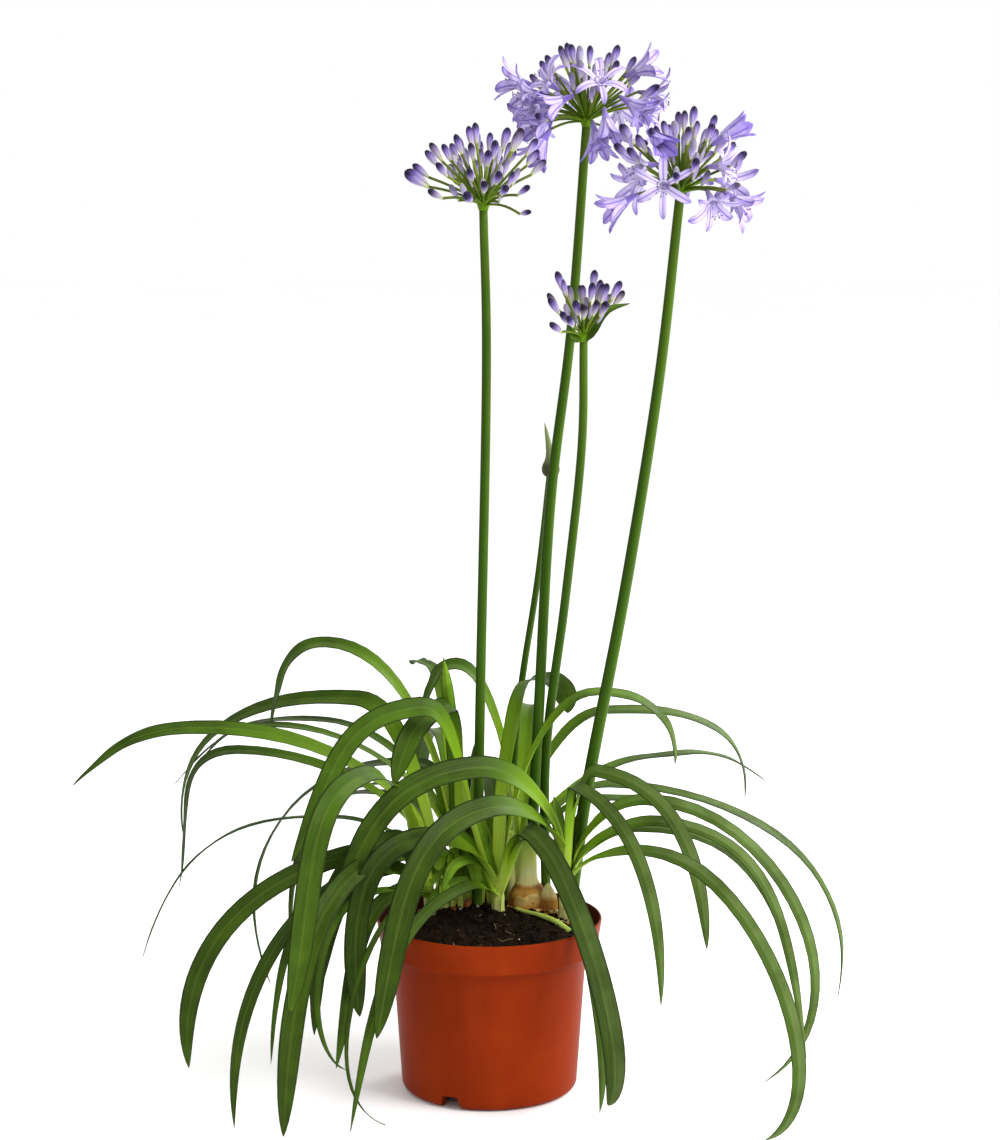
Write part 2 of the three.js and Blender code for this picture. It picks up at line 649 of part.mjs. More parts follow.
// Closed buds over a cap of directions round the vertical, on a golden spiral with a little scatter.
function ruledBuds(at, { count, cap, reach, lift, seed }) {
  const random = seeded(seed);
  const flatness = 1 - Math.cos(radians(cap));
  return Array.from({ length: count }, (_, k) => {
    const polar = (180 / Math.PI) * Math.acos(1 - (flatness * (k + 0.5)) / count);
    const azimuth = 137.508 * k + 10 * random();
    const size = 0.85 + 0.3 * random();
    const outward = direction(azimuth, polar);
    const base = outward.clone().multiplyScalar(reach * (0.9 + 0.2 * random()));
    const axis = outward.lerp(new THREE.Vector3(0, 0, 1), lift).normalize();
    const tip = base.clone().addScaledVector(axis, BUD.length * size);
    return bud(at, base, tip, BUD.radius * size);
  });
}

// An open floret: its pedicel and tube in one bar that opens into a cup, with six tepals round the mouth.
function floret(at, { base, to, open }) {
  const skin = new Skin();
  const start = at.clone().addScaledVector(vector(base).normalize(), 3);
  const foot = at.clone().add(vector(base));
  const axis = vector(to).sub(vector(base)).normalize();
  const side = sideOf(vector(base), vector(to));
  const across = side.clone().addScaledVector(axis, -side.dot(axis)).normalize();
  const throat = foot.clone().addScaledVector(axis, FLORET.tube);
  const pedicelAxis = vector(base).normalize();
  const rings = [
    skin.ring(roundRing(start, pedicelAxis, side, BUD.pedicel[0], 6)),
    skin.ring(roundRing(foot, axis, side, 1.5, 6)),
    skin.ring(roundRing(throat, axis, side, FLORET.throat, 6)),
  ];
  skin.cap(rings[0], false);
  skin.band(rings[0], rings[1]);
  skin.band(rings[1], rings[2]);
  const inner = skin.ring(roundRing(throat, axis, side, FLORET.throat - FLORET.thickness, 6));
  const well = skin.point(throat.clone().addScaledVector(axis, -FLORET.well * FLORET.tube));
  const [closed, ...wider] = FLORET.spread;
  const spread = wider.map((angle) => closed + angle * open);
  const up = axis.clone().cross(across);
  for (let i = 0; i < 6; i += 1) {
    const j = (i + 1) % 6;
    skin.face(inner[i], inner[j], well);
    const middle = (Math.PI * (2 * i + 1)) / 6;
    const radial = across.clone().multiplyScalar(Math.cos(middle)).addScaledVector(up, Math.sin(middle));
    const sideways = across.clone().multiplyScalar(-Math.sin(middle)).addScaledVector(up, Math.cos(middle));
    let [out, ahead] = [FLORET.throat * 0.87, 0];
    let lower = [rings[2][i], rings[2][j], inner[j], inner[i]];
    spread.forEach((angle, k) => {
      const step = FLORET.tepal * FLORET.bends[k];
      out += step * Math.sin(radians(angle));
      ahead += step * Math.cos(radians(angle));
      const centre = throat.clone().addScaledVector(axis, ahead).addScaledVector(radial, out);
      if (k === 1) {
        const apex = skin.point(centre);
        lower.forEach((a, m) => skin.face(a, lower[(m + 1) % 4], apex));
        return;
      }
      const inward = axis.clone().multiplyScalar(Math.sin(radians(angle)))
        .addScaledVector(radial, -Math.cos(radians(angle))).multiplyScalar(FLORET.thickness);
      const half = FLORET.width / 2;
      const left = centre.clone().addScaledVector(sideways, -half);
      const right = centre.clone().addScaledVector(sideways, half);
      const upper = skin.ring([left, right, right.clone().add(inward), left.clone().add(inward)]);
      skin.band(lower, upper);
      lower = upper;
    });
  }
  return skin.solid();
}

function bract(at, { points, width }) {
  const path = new THREE.CatmullRomCurve3(points.map((p) => at.clone().add(vector(p)))).getPoints(5);
  const out = vector(points[points.length - 1]).setZ(0).normalize();
  const side = new THREE.Vector3(-out.y, out.x, 0);
  const widths = path.map((_, i) => width * (0.7 + 0.5 * (i / 5)) * (1 - (i / 5) ** 1.5));
  return blade(path, side, widths, LEAF.thickness, path.map(() => 0));
}

function umbel(shape) {
  const at = vector(shape.at);
  return joined([
    receptacle(at),
    ...ruledBuds(at, shape.buds),
    ...shape.extras.map(({ base, tip, radius }) => bud(at, vector(base), vector(tip), radius)),
    ...shape.florets.map((one) => floret(at, one)),
    ...shape.bracts.map((one) => bract(at, one)),
  ]);
}

// ---------------------------------------------------------------- the plant

const COLOURS = {
  pot: new THREE.MeshStandardMaterial({ color: 0xa8401c, roughness: 0.45, metalness: 0 }),
  soil: new THREE.MeshStandardMaterial({ color: 0x1c120d, roughness: 0.95, metalness: 0 }),
  leaf: new THREE.MeshStandardMaterial({ color: 0x3f7a1c, roughness: 0.4, metalness: 0 }),
  bulb: new THREE.MeshStandardMaterial({ color: 0xb98b52, roughness: 0.7, metalness: 0 }),
  stalk: new THREE.MeshStandardMaterial({ color: 0x4c7a24, roughness: 0.45, metalness: 0 }),
  flower: new THREE.MeshStandardMaterial({ color: 0x9a86dc, roughness: 0.6, metalness: 0 }),
};

function piece(name, solid, material) {
  const mesh = new THREE.Mesh(toGeometry(solid), material);
  mesh.name = name;
  return mesh;
}

const plant = new THREE.Group();
plant.add(piece('pot', pot(), COLOURS.pot));
plant.add(piece('soil', soil(), COLOURS.soil));
plant.add(piece('papery_bulb', paperyBulb(), COLOURS.bulb));
for (const [name, shape] of Object.entries(SHOOTS)) plant.add(piece(name, shoot(shape), COLOURS.leaf));
for (const [name, shape] of Object.entries(STALKS)) plant.add(piece(name, stalk(shape), COLOURS.stalk));
plant.add(piece('closed_bud', closedBud(), COLOURS.stalk));
for (const [name, shape] of Object.entries(UMBELS)) plant.add(piece(name, umbel(shape), COLOURS.flower));

export default plant;
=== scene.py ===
import math
import random
from collections import namedtuple
from types import SimpleNamespace as Sizes

import bpy
from mathutils import Matrix, Vector, noise


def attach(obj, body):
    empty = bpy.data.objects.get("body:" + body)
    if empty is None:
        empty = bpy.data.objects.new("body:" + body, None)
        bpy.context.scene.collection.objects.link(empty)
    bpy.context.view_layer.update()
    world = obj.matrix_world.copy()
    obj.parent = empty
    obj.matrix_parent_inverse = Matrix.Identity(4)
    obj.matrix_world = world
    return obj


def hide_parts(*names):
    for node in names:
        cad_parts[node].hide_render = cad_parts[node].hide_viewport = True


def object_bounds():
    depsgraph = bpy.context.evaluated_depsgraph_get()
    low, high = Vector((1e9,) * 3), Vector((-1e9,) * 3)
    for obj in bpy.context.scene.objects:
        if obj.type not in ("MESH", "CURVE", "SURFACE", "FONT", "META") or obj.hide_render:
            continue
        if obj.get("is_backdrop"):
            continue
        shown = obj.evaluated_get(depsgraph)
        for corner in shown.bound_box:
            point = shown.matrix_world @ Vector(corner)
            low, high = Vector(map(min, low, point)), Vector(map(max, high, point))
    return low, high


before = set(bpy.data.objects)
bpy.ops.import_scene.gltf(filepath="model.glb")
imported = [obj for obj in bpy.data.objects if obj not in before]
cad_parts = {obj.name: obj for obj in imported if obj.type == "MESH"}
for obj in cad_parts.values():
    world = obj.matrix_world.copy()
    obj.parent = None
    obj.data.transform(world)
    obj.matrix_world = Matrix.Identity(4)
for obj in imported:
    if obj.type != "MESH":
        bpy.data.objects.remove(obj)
cad_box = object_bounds()

# ---------------------------------------------------------------- driving dimensions

MM = 0.001
UP = Vector((0, 0, 1))
RIGHT = Vector((1, 0, 0))
AWAY = Vector((0, 1, 0))

POT = Sizes(
    height=132, rim_radius=85, wall=1.7, sides=144,
    band_height=23, band_foot_radius=82, shoulder_radius=73.5,
    base_radius=66, base_round=6.5, foot_inner_radius=57, floor_height=10,
    dish_radius=34, dish_slope=3,
)
NOTCH = Sizes(count=3, first_azimuth=244, width=18, top_width=12, height=10, inward=14, outward=8)
# Relief is the soil's roughness in layers, each of its pitch, its number and its height.
SOIL = Sizes(
    edge_height=118, middle_height=128, floor=100, gap=0.3, lip=0.9, rings=44, sides=132,
    relief=[(0.07, 3, 3.2), (0.2, 7, 2.4), (0.6, 11, 1.4)],
)
GROUND = SOIL.middle_height
FOOT_DEPTH = 112
NECK_SIDES = 24
# A blade's channel is how far its edges stand off its middle, as a share of half its width. Foot and knee are
# the first points of a leaf's middle line, as (out, up); rise, fall and upright are steps along it.
LEAF = Sizes(
    middle=1.3, edge=0.45, channel=0.24, rise=16, fall=22, upright=20,
    foot=[(2, -6), (2.3, 0), (2.6, 6)], knee=(3.2, 12),
)
BULB = Sizes(at=(29, 44), radius=14.2, height=56)
OFFSET_BULB = Sizes(at=(45, 37), radius=7.5, height=20)
# A second thin neck beside the bulb's, and a runner that lies on the soil, as (x, y, lift off it).
SECOND_NECK = [(19, 46, 136), (16, 44, 158), (15, 43, 187)]
RUNNER = [(20, 32, 1), (28, 22, 2), (38, 8, 2), (50, -6, 2.4), (60, -14, 1)]
RECEPTACLE = Sizes(radius=4.7, height=4.5)
BUD = Sizes(length=15.5, radius=2.75, sides=12)
# Places along a bud and its radius there, both as shares.
BUD_SHAPE = [
    (0, 0.32), (0.08, 0.44), (0.18, 0.58), (0.32, 0.78), (0.48, 0.94), (0.64, 1), (0.77, 0.95), (0.88, 0.76),
    (0.96, 0.44), (1, 0),
]
# The turn from one bud to the next on a spiral that fills a round head evenly.
GOLDEN_ANGLE = 137.508
PEDICEL = Sizes(radii=(0.85, 1.05), steps=7, sides=7)
FLORET = Sizes(tube=12.5, throat=4.2, sides=18, tepal=23, width=7.4, steps=11)
# How wide a bract is along its length, as a share of its width.
BRACT_WIDTHS = [(0, 0.5), (0.2, 0.95), (0.4, 1), (0.65, 0.6), (0.9, 0.2), (1, 0.05)]
# Flakes of old skin: x, y, azimuth, length and tone.
FLAKES = [
    (44, 32, 300, 12, 0.55), (40, 30, 250, 9, 0.6), (48, 28, 20, 11, 0.3), (53, 30, 330, 13, 0.3),
    (50, 12, 280, 12, 0.3), (56, 2, 240, 12, 0.3), (36, 28, 280, 10, 0.55), (18, 34, 200, 8, 0.6),
    (60, 4, 60, 10, 0.35), (46, 22, 200, 9, 0.6),
]
# Bark chips (x, y, size, tone) and grains of perlite (x, y) that lie in plain view.
CHIPS = [(-51, 33, 6, 0.9), (-17, 40, 6, 0.95), (-27, 36, 4, 0.8), (76, 12, 3, 0.8)]
GRAINS = [(-22, 33), (-9, 36)]

# Each leaf rises from its shoot's foot, or from a foot of its own, to a crest and falls to its tip; one with
# no crest stands upright. Crest and tip are (out, up) from the foot at soil level. Tone runs from 0 dark to 1
# bright, and roll tips the blade over. Lean pulls the rising part outward, hang is the slope at the tip (90
# hangs straight down), fall is how far it runs on past its crest, and bend swings the tip sideways. Point is
# 0 for a short arched tip and 1 for a long slender one.
Leaf = namedtuple(
    "Leaf", "azimuth crest tip width tone roll lean hang fall bend point foot",
    defaults=(0, 0.12, 80, 0.45, 0, 0, None),
)

# Each shoot: its foot on the soil, the radius of its neck's sheath, and its leaves.
SHOOTS = {
    "shoot_front": ((7, 29), 9, [
        Leaf(222, (82, 70), (138, -55), 17, 0.3, 45, 0.1, 98),
        Leaf(236, (44, 28), (191, -121), 9.5, 0.42, 32, 0.3, 73, point=0.4),
        Leaf(299, (47, 72), (164, -106), 16.5, 0.3, -27, 0.5, 135, fall=0.27),
        Leaf(304, (46, 66), (133, -123), 11, 0.5, -20, 0.5, 104, fall=0.3, point=0.4),
        Leaf(200, (62, 163), (164, 53), 16, 0.6, 55, 0.6, 60, point=0.2),
        Leaf(1, (75, 170), (134, 114), 10, 0.6, -28, 0.1, 92, point=0.2),
        Leaf(50, (38, 174), (84, 141), 20, 0.6, 25, 0.15, 80),
        Leaf(200, (27, 26), (58, 12), 8, 0.85, 50, 0.4, 40, point=0.3),
        Leaf(190, (38, 60), (66, 40), 11, 0.95, 45, 0.3, 60, point=0.5),
        Leaf(214, (30, 44), (52, 22), 9, 0.9, 45, 0.4, 60, point=0.6),
        Leaf(172, None, (28, 62), 12, 1, 25, point=0.3),
        Leaf(150, None, (26, 84), 13, 0.95, 25, point=0.3),
        Leaf(350, None, (15, 50), 11, 0.9, -30, point=0.3),
    ]),
    "shoot_right": ((57, 22), 9, [
        Leaf(203, (72, 120), (183, 22), 18, 0.42, 58, -0.1, 72, point=0.1),
        Leaf(225, (82, 96), (195, -55), 19, 0.33, 43, -0.2, 74),
        Leaf(340, (75, 78), (191, -94), 9, 0.5, -48, 0.05, 81, point=0.3),
        Leaf(311, (113, 67), (214, -124), 10.5, 0.56, -40, 0, 150, point=0.1),
        Leaf(2, (56, 67), (186, -108), 9, 0.45, -50, 0, 82, point=0.4),
        Leaf(347, (64, 92), (156, -122), 10, 0.55, -48, 0.05, 142, point=0.3),
        Leaf(323, (30, 115), (130, -6), 11, 0.5, -50, 0.1, 86, point=0.1),
        Leaf(296, (18, 103), (153, -31), 11, 0.5, -25, 0.8, 92, point=0.3),
        Leaf(335, None, (15, 84), 9, 0.35, -60),
        Leaf(120, None, (16, 88), 11, 0.85),
    ]),
    "shoot_left": ((-34, 44), 9, [
        Leaf(189, (190, 146), (282, 105), 12, 0.42, 50, 0.02, 42, point=0.9),
        Leaf(177, (159, 120), (206, 12), 10, 0.35, 30, 0.05, 77, point=0.8),
        Leaf(159, (73, 157), (223, 32), 15, 0.5, 45, 0.3, 100, point=1),
        Leaf(170, (88, 66), (242, -53), 9, 0.45, 0, 0.05, 73, point=1),
        Leaf(146, (60, 80), (150, -20), 15, 0.4, point=0.3),
        Leaf(250, (18, 50), (32, 36), 11, 0.9, 40, 0.2, foot=(-28, 42)),
        Leaf(300, (16, 38), (30, 22), 10, 0.95, -30, 0.2, foot=(-24, 46)),
        Leaf(200, None, (14, 66), 12, 0.85, 30, foot=(-38, 50)),
        Leaf(340, None, (15, 78), 12, 0.8, -30, foot=(-28, 52)),
        Leaf(270, (14, 26), (30, 10), 9, 1, 0, 0.2, foot=(-34, 38)),
        Leaf(225, (18, 34), (36, 20), 10, 0.95, 40, 0.2, foot=(-22, 40)),
    ]),
    "shoot_front_left": ((-46, 24), 9, [
        Leaf(205, (34, 54), (195, -96), 15, 0.38, 60, 0.1, 97),
        Leaf(226, (28, 50), (199, -121), 10.5, 0.35, 42, 0.15, 94, point=0.2),
        Leaf(240, (92, 125), (192, -29), 18, 0.58, 28, 0.25, 65),
        Leaf(237, (60, 56), (187, -123), 17, 0.42, 30, 0.25, 84),
        Leaf(216, (36, 40), (103, -50), 11, 0.35, 50, 0.15, 75, point=0.2),
        Leaf(236, (34, 26), (119, -91), 12, 0.42, 32, 0.15, 70, point=0.3),
        Leaf(238, (36, 22), (120, -126), 6, 0.4, 15, 0.25, 150, bend=40, point=1),
        Leaf(222, (34, 64), (113, -73), 14, 0.42, 45, 0.3, 86, point=0.2),
        Leaf(220, (60, 42), (150, -89), 8, 0.4, 30, 0.15, 85, point=0.6),
        Leaf(232, (75, 30), (99, -99), 6, 0.6, 30, 0.15, 150, point=0.6),
    ]),
    "shoot_back_left": ((-22, 64), 9, [
        Leaf(233, (14, 155), (82, 106), 18, 0.6, 30, 0.5, 66, point=0.1),
        Leaf(210, None, (15, 192), 10, 0.85, -60),
        Leaf(175, (103, 200), (148, 135), 12, 0.5, 35, 0.1, 75, point=0.5),
        Leaf(158, (114, 132), (248, 70), 9, 0.2, 15, 0.05, 50, point=1),
        Leaf(177, (148, 136), (203, 106), 9, 0.25, 15, 0.02, 50, point=1),
        Leaf(145, (36, 102), (192, -100), 11, 0.4, 20, 0.45, 118, point=0.6),
        Leaf(130, (56, 78), (219, -105), 10, 0.35, 0, 0.15, 104, point=0.7),
        Leaf(132, (37, 179), (57, 177), 12, 0.6, 0, 0.45, 50),
        Leaf(106, (60, 120), (150, 10), 17, 0.5),
        Leaf(78, (60, 90), (140, -40), 16, 0.45),
        Leaf(340, None, (18, 96), 13, 0.75, -20),
        Leaf(300, (16, 66), (34, 44), 12, 0.85, -30, 0.2),
        Leaf(12, None, (12, 124), 13, 0.6),
        Leaf(262, None, (9, 72), 16, 0.9, foot=(-8, 60)),
        Leaf(240, None, (12, 58), 15, 1, foot=(-18, 54)),
        Leaf(285, None, (10, 84), 15, 0.8, foot=(2, 62)),
        Leaf(215, (16, 40), (34, 26), 12, 1, 35, 0.2, foot=(-12, 52)),
    ]),
    "shoot_back_right": ((25, 66), 7.5, [
        Leaf(178, (51, 184), (79, 152), 13, 0.5, 30, 0.15, 42, point=0.3),
        Leaf(14, (66, 145), (181, 70), 11, 0.5, -24, -0.1, 94, point=0.4),
        Leaf(28, (110, 100), (223, 69), 9, 0.35, -14, -0.05, 38, point=0.7),
        Leaf(349, (70, 93), (246, -65), 11, 0.5, -16, 0.1, 100, point=0.5),
        Leaf(3, (58, 78), (168, 50), 11, 0.5, -15, 0.1, 35, point=0.8),
        Leaf(92, (60, 70), (150, -40), 16, 0.45),
        Leaf(84, (55, 140), (120, 60), 15, 0.5),
    ]),
}

# Flower stalks: the points that each passes through, foot first, and its radius at the foot and the top.
STALKS = {
    "stalk_left": ([(-10, 52, FOOT_DEPTH), (-7, 34, 290), (-2, 5, 540), (-4, -10, 663)], (4.1, 3.1)),
    "stalk_top": (
        [(29, 44, FOOT_DEPTH), (37, 44, 270), (46, 44, 440), (61, 45, 570), (72, 45, 722)], (4.4, 3.3)
    ),
    "stalk_small": (
        [(44, 58, FOOT_DEPTH), (43, 50, 243), (57, 24, 370), (68, -3, 486), (69, -15, 568)], (3.8, 3)
    ),
    "stalk_right": (
        [(60, 40, FOOT_DEPTH), (74, 25, 224), (101, 2, 381), (124, -16, 540), (137, -35, 673)], (5.2, 3.4)
    ),
    "stalk_bud": (
        [(10, 73, FOOT_DEPTH), (17, 80, 210), (24, 78, 290), (37, 68, 380), (46, 60, 464)], (3, 2.3)
    ),
}
CLOSED_BUD = Sizes(at=(46, 60, 462.3), length=42, radius=6.6, sunk=4)

# Umbels. A bud is (x, z, side) of its tip from the receptacle, with side -1 nearer the viewer and +1 behind,
# on a ball of radius reach; a fourth number is its size. Young buds are (x, y, z) of their tips. Ruled buds
# fill the far side between two angles from upright. Grey is how greyed the buds are at least. A floret is its
# base, the point that its mouth looks towards, and how open it is, from 0 for a bell to 1 for a flat star. A
# bract is its width, its roll and the points that it passes through.
UMBELS = {
    "umbel_left": {
        "at": (-4, -10, 667),
        "reach": 60,
        "grey": 0.15,
        "ruled": {"count": 16, "from": 24, "to": 66, "seed": 11},
        "buds": [
            (-6, 59, -1), (-11, 56, 1), (-20, 51, -1), (5, 51, 1), (-39, 44, 1), (-29, 44, -1),
            (-24, 43, 1), (9, 47, -1), (18, 55, 1, 1.25), (28, 55, -1, 1.3), (-57, 24, -1, 1.9),
            (-33, 31, -1), (-39, 12, -1), (-9, 45, -1), (-3, 45, 1), (4, 40, -1), (9, 32, 1), (-10, 27, -1),
            (12, 25, -1), (17, 28, 1), (1, 18, -1), (17, 15, -1), (33, 15, -1, 0.9), (34, -3, -1, 0.8),
            (-12, 10, -1, 1.2),
        ],
        "young": [
            (0, -24, 20), (-10, -20, 26), (7, -18, 33), (13, -20, 29), (16, -22, 15), (-16, -22, 16),
            (-6, -14, 33), (2, -12, 38), (18, -10, 34), (-18, -12, 32), (-24, -18, 15), (22, -8, 24),
            (-2, 8, 40), (10, 10, 38), (-14, 12, 36), (-26, 10, 28), (26, 12, 26), (8, -26, 24),
            (-22, -4, 36), (12, -2, 42),
        ],
        "florets": [],
        "bracts": [],
    },
    "umbel_top": {
        "at": (72, 45, 726),
        "reach": 58,
        "grey": 0.1,
        "ruled": {"count": 12, "from": 20, "to": 60, "seed": 23},
        "buds": [
            (-20, 55, -1), (-15, 57, 1), (-12, 56, -1), (-5, 55, 1), (2, 55, -1), (-30, 48, 1),
            (38, 39, 1, 0.9), (54, 26, -1, 1.4), (44, -16, -1, 1.25), (-38, 5, -1), (-44, 0, 1),
            (-6, 44, -1), (10, 46, 1), (22, 44, -1), (18, 50, 1),
        ],
        "young": [
            (-2, -18, 38), (6, -14, 42), (-12, -12, 36), (14, -8, 38), (-6, 4, 42), (4, -22, 26),
            (16, 6, 36),
        ],
        "florets": [
            ((8, -26, 22), (11, -46, 38), 1), ((-20, -12, 22), (-36, -20, 33), 0.9),
            ((-38, 4, 26), (-60, 4, 30), 0.3), ((-10, -26, 19), (-26, -30, 12), 0.25),
            ((-26, -10, 14), (-46, -14, 7), 0.7), ((-30, -6, 20), (-50, -10, 20), 0.5),
            ((-22, -16, 4), (-38, -22, -3), 0.3), ((32, -8, 10), (49, -12, 3), 0.5),
            ((-30, 10, 8), (-50, 14, 2), 0.5), ((-27, -16, -6), (-38, -22, -24), 0.12),
            ((12, -26, 10), (16, -36, -14), 0.2), ((4, -18, 0), (8, -26, -20), 0.15),
            ((24, -14, 18), (40, -22, 8), 0.35), ((38, 4, 21), (58, 4, 18), 0.7),
            ((28, 2, 32), (47, -4, 41), 0.25), ((-6, 30, 20), (-10, 52, 26), 0.8),
            ((20, 28, 12), (32, 46, 4), 0.5), ((-24, 24, 8), (-38, 38, -4), 0.5),
        ],
        "bracts": [],
    },
    "umbel_right": {
        "at": (137, -35, 677),
        "reach": 58,
        "grey": 0.1,
        "ruled": {"count": 12, "from": 22, "to": 62, "seed": 5},
        "buds": [
            (10, 61, -1), (-1, 57, 1), (3, 58, -1), (-11, 50, 1), (-6, 51, -1), (14, 50, 1), (22, 49, -1),
            (28, 44, 1), (-23, 46, -1), (-20, 45, 1), (4, 47, -1), (12, 43, 1), (7, 36, -1),
            (-43, 48, -1, 1.35), (-47, 34, 1, 1.25), (-39, 32, -1), (-6, 15, -1), (9, 25, -1), (11, 17, 1),
            (38, 31, 1), (46, 29, -1), (40, 7, -1, 0.8),
        ],
        "young": [
            (-4, -20, 19), (11, -22, 22), (9, -16, 38), (11, -20, 29), (-6, -14, 34), (16, -12, 34),
            (2, -10, 42), (20, -16, 16), (-14, -8, 38), (4, 8, 42), (-8, 10, 38), (18, 8, 36),
        ],
        "florets": [
            ((-12, -22, 6), (-15, -44, 5), 1), ((-16, -10, 20), (-34, -18, 18), 0.6),
            ((-31, -16, -1), (-51, -20, -12), 0.15), ((-24, -12, 43), (-18, -24, 38), -0.1),
            ((18, -14, 18), (36, -22, 20), 0.8), ((22, -4, 33), (40, -6, 45), -0.1),
            ((30, -12, 1), (50, -18, -13), 0.3), ((18, -20, 2), (24, -32, -12), 0.6),
            ((4, 28, 14), (8, 50, 16), 0.8), ((26, 20, 8), (44, 34, 4), 0.6),
            ((-20, 22, 10), (-34, 36, 2), 0.5),
        ],
        "bracts": [],
    },
    "umbel_small": {
        "at": (69, -15, 572),
        "reach": 44,
        "grey": 0.42,
        "ruled": {"count": 8, "from": 16, "to": 56, "seed": 8},
        "buds": [
            (-20, 47, 1), (-17, 42, -1), (-11, 35, 1), (-26, 29, -1), (-7, 28, -1), (8, 48, 1), (6, 40, -1),
            (13, 40, 1), (-2, 35, 1), (-1, 25, -1), (9, 28, -1), (17, 39, -1), (27, 40, -1), (22, 29, 1),
            (16, 27, -1), (-17, 20, -1), (-12, 17, -1), (-25, 12, -1),
        ],
        "young": [
            (-6, -12, 22), (6, -14, 24), (14, -10, 20), (-14, -8, 24), (2, 6, 28),
        ],
        "florets": [],
        "bracts": [
            (13, -60, [(1, -1, -2), (6, -5, 5), (11, -7, 13), (19, -8, 20), (33, -8, 24)]),
            (9, 60, [(-2, -1, -2), (-9, -4, 0), (-12, -6, 7)]),
        ],
    },
}

# ---------------------------------------------------------------- mesh helpers

PLAIN = (0, 0, 0.5)


def heading(azimuth):
    turn = math.radians(azimuth)
    return Vector((math.cos(turn), math.sin(turn), 0))


def lerp(a, b, t):
    return a + (b - a) * t


def table(rows, s):
    """Reads rows of (place, value) at s, straight between the rows."""
    if s <= rows[0][0]:
        return rows[0][1]
    for (a, low), (b, high) in zip(rows, rows[1:]):
        if s <= b:
            return lerp(low, high, (s - a) / (b - a))
    return rows[-1][1]


class Skin:
    """Points in millimetres, each with a coat of (along, across, tone), and the faces between them."""

    def __init__(self):
        self.points = []
        self.coats = []
        self.faces = []
        self.finishes = []
        self.finish = 0

    def point(self, place, coat=PLAIN):
        self.points.append(place * MM)
        self.coats.append(coat)
        return len(self.points) - 1

    def ring(self, places, coats=None):
        coats = coats or [PLAIN] * len(places)
        return [self.point(place, coat) for place, coat in zip(places, coats)]

    def face(self, *corners):
        self.faces.append(corners)
        self.finishes.append(self.finish)

    def band(self, lower, upper):
        count = len(lower)
        for j in range(count):
            k = (j + 1) % count
            self.face(lower[j], lower[k], upper[k], upper[j])

    def cone(self, ring, apex):
        for j, corner in enumerate(ring):
            self.face(corner, ring[(j + 1) % len(ring)], apex)

    def close(self, rings, apex=None):
        """A closed solid through the rings, with a flat first end and a flat or pointed last one."""
        self.face(*reversed(rings[0]))
        for lower, upper in zip(rings, rings[1:]):
            self.band(lower, upper)
        if apex is None:
            self.face(*rings[-1])
        else:
            self.cone(rings[-1], apex)

    def build(self, name, *materials):
        mesh = bpy.data.meshes.new(name)
        mesh.from_pydata(self.points, [], self.faces)
        coat = mesh.attributes.new("coat", "FLOAT_COLOR", "POINT")
        coat.data.foreach_set("color", [n for c in self.coats for n in (*c, 1)])
        for material in materials:
            mesh.materials.append(material)
        mesh.polygons.foreach_set("material_index", self.finishes)
        mesh.polygons.foreach_set("use_smooth", [True] * len(self.faces))
        mesh.update()
        piece = bpy.data.objects.new(name, mesh)
        bpy.context.scene.collection.objects.link(piece)
        return piece


def settle(piece, slot, *nodes):
    """The piece rides on the plant's one body and stands for its CAD nodes; the slot is not used."""
    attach(piece, "root")
    if nodes:
        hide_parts(*nodes)


def tangents(path):
    last = len(path) - 1
    return [(path[min(i + 1, last)] - path[max(i - 1, 0)]).normalized() for i in range(last + 1)]


def catmull(points, steps):
    """A smooth line through the points, with steps spans between each two."""
    points = [Vector(point) for point in points]
    ends = [points[0] * 2 - points[1], *points, points[-1] * 2 - points[-2]]
    line = []
    for a, b, c, d in zip(ends, ends[1:], ends[2:], ends[3:]):
        for i in range(steps):
            t = i / steps
            bow = (2 * a - 5 * b + 4 * c - d) * t**2 + (3 * b - a - 3 * c + d) * t**3
            line.append(0.5 * (2 * b + (c - a) * t + bow))
    line.append(points[-1])
    return line


def circle(radius, height, sides):
    return [heading(360 * j / sides) * radius + UP * height for j in range(sides)]


def round_ring(centre, tangent, side, radii):
    """A ring of points square to the tangent, the first of them towards side."""
    across = (side - tangent * side.dot(tangent)).normalized()
    up = tangent.cross(across)
    turns = [2 * math.pi * j / len(radii) for j in range(len(radii))]
    return [centre + across * (r * math.cos(t)) + up * (r * math.sin(t)) for r, t in zip(radii, turns)]


def ribbed(radius, sides, ribs=0, rib_count=3):
    """The radii round a bar with soft ribs, whose height is a share of its radius."""
    return [radius * (1 + ribs * math.cos(2 * math.pi * rib_count * j / sides)) for j in range(sides)]


def folded(tone):
    """A coat alike on both sides of a bar: across is 1 where the bar faces its side, and 0 opposite."""
    return lambda s, turn: (s, abs(turn - 0.5) * 2, tone)


def wrapped(tone, start=0, share=1):
    """A coat that runs once round a bar, and along it from start over a share of the finish."""
    return lambda s, turn: (start + share * s, turn, tone)


def tube(skin, path, radii, sides, coat, side=RIGHT, **ribs):
    """A bar along the path; coat(s, turn) gives each point's coat. A last radius of 0 ends it in a point."""
    along = tangents(path)
    last = len(path) - 1
    if abs(along[0].dot(side)) > 0.9:
        side = AWAY
    rings = []
    apex = None
    for i, radius in enumerate(radii):
        if radius == 0:
            apex = skin.point(path[i], coat(1, 0))
            break
        places = round_ring(path[i], along[i], side, ribbed(radius, sides, **ribs))
        rings.append(skin.ring(places, [coat(i / last, j / sides) for j in range(sides)]))
    skin.close(rings, apex)


def column(skin, centre, rows, size, sides, coat, **ribs):
    """An upright bar, from rows of its height and its radius as a share of size."""
    path = [centre + UP * height for height, _ in rows]
    tube(skin, path, [size * share for _, share in rows], sides, coat, **ribs)


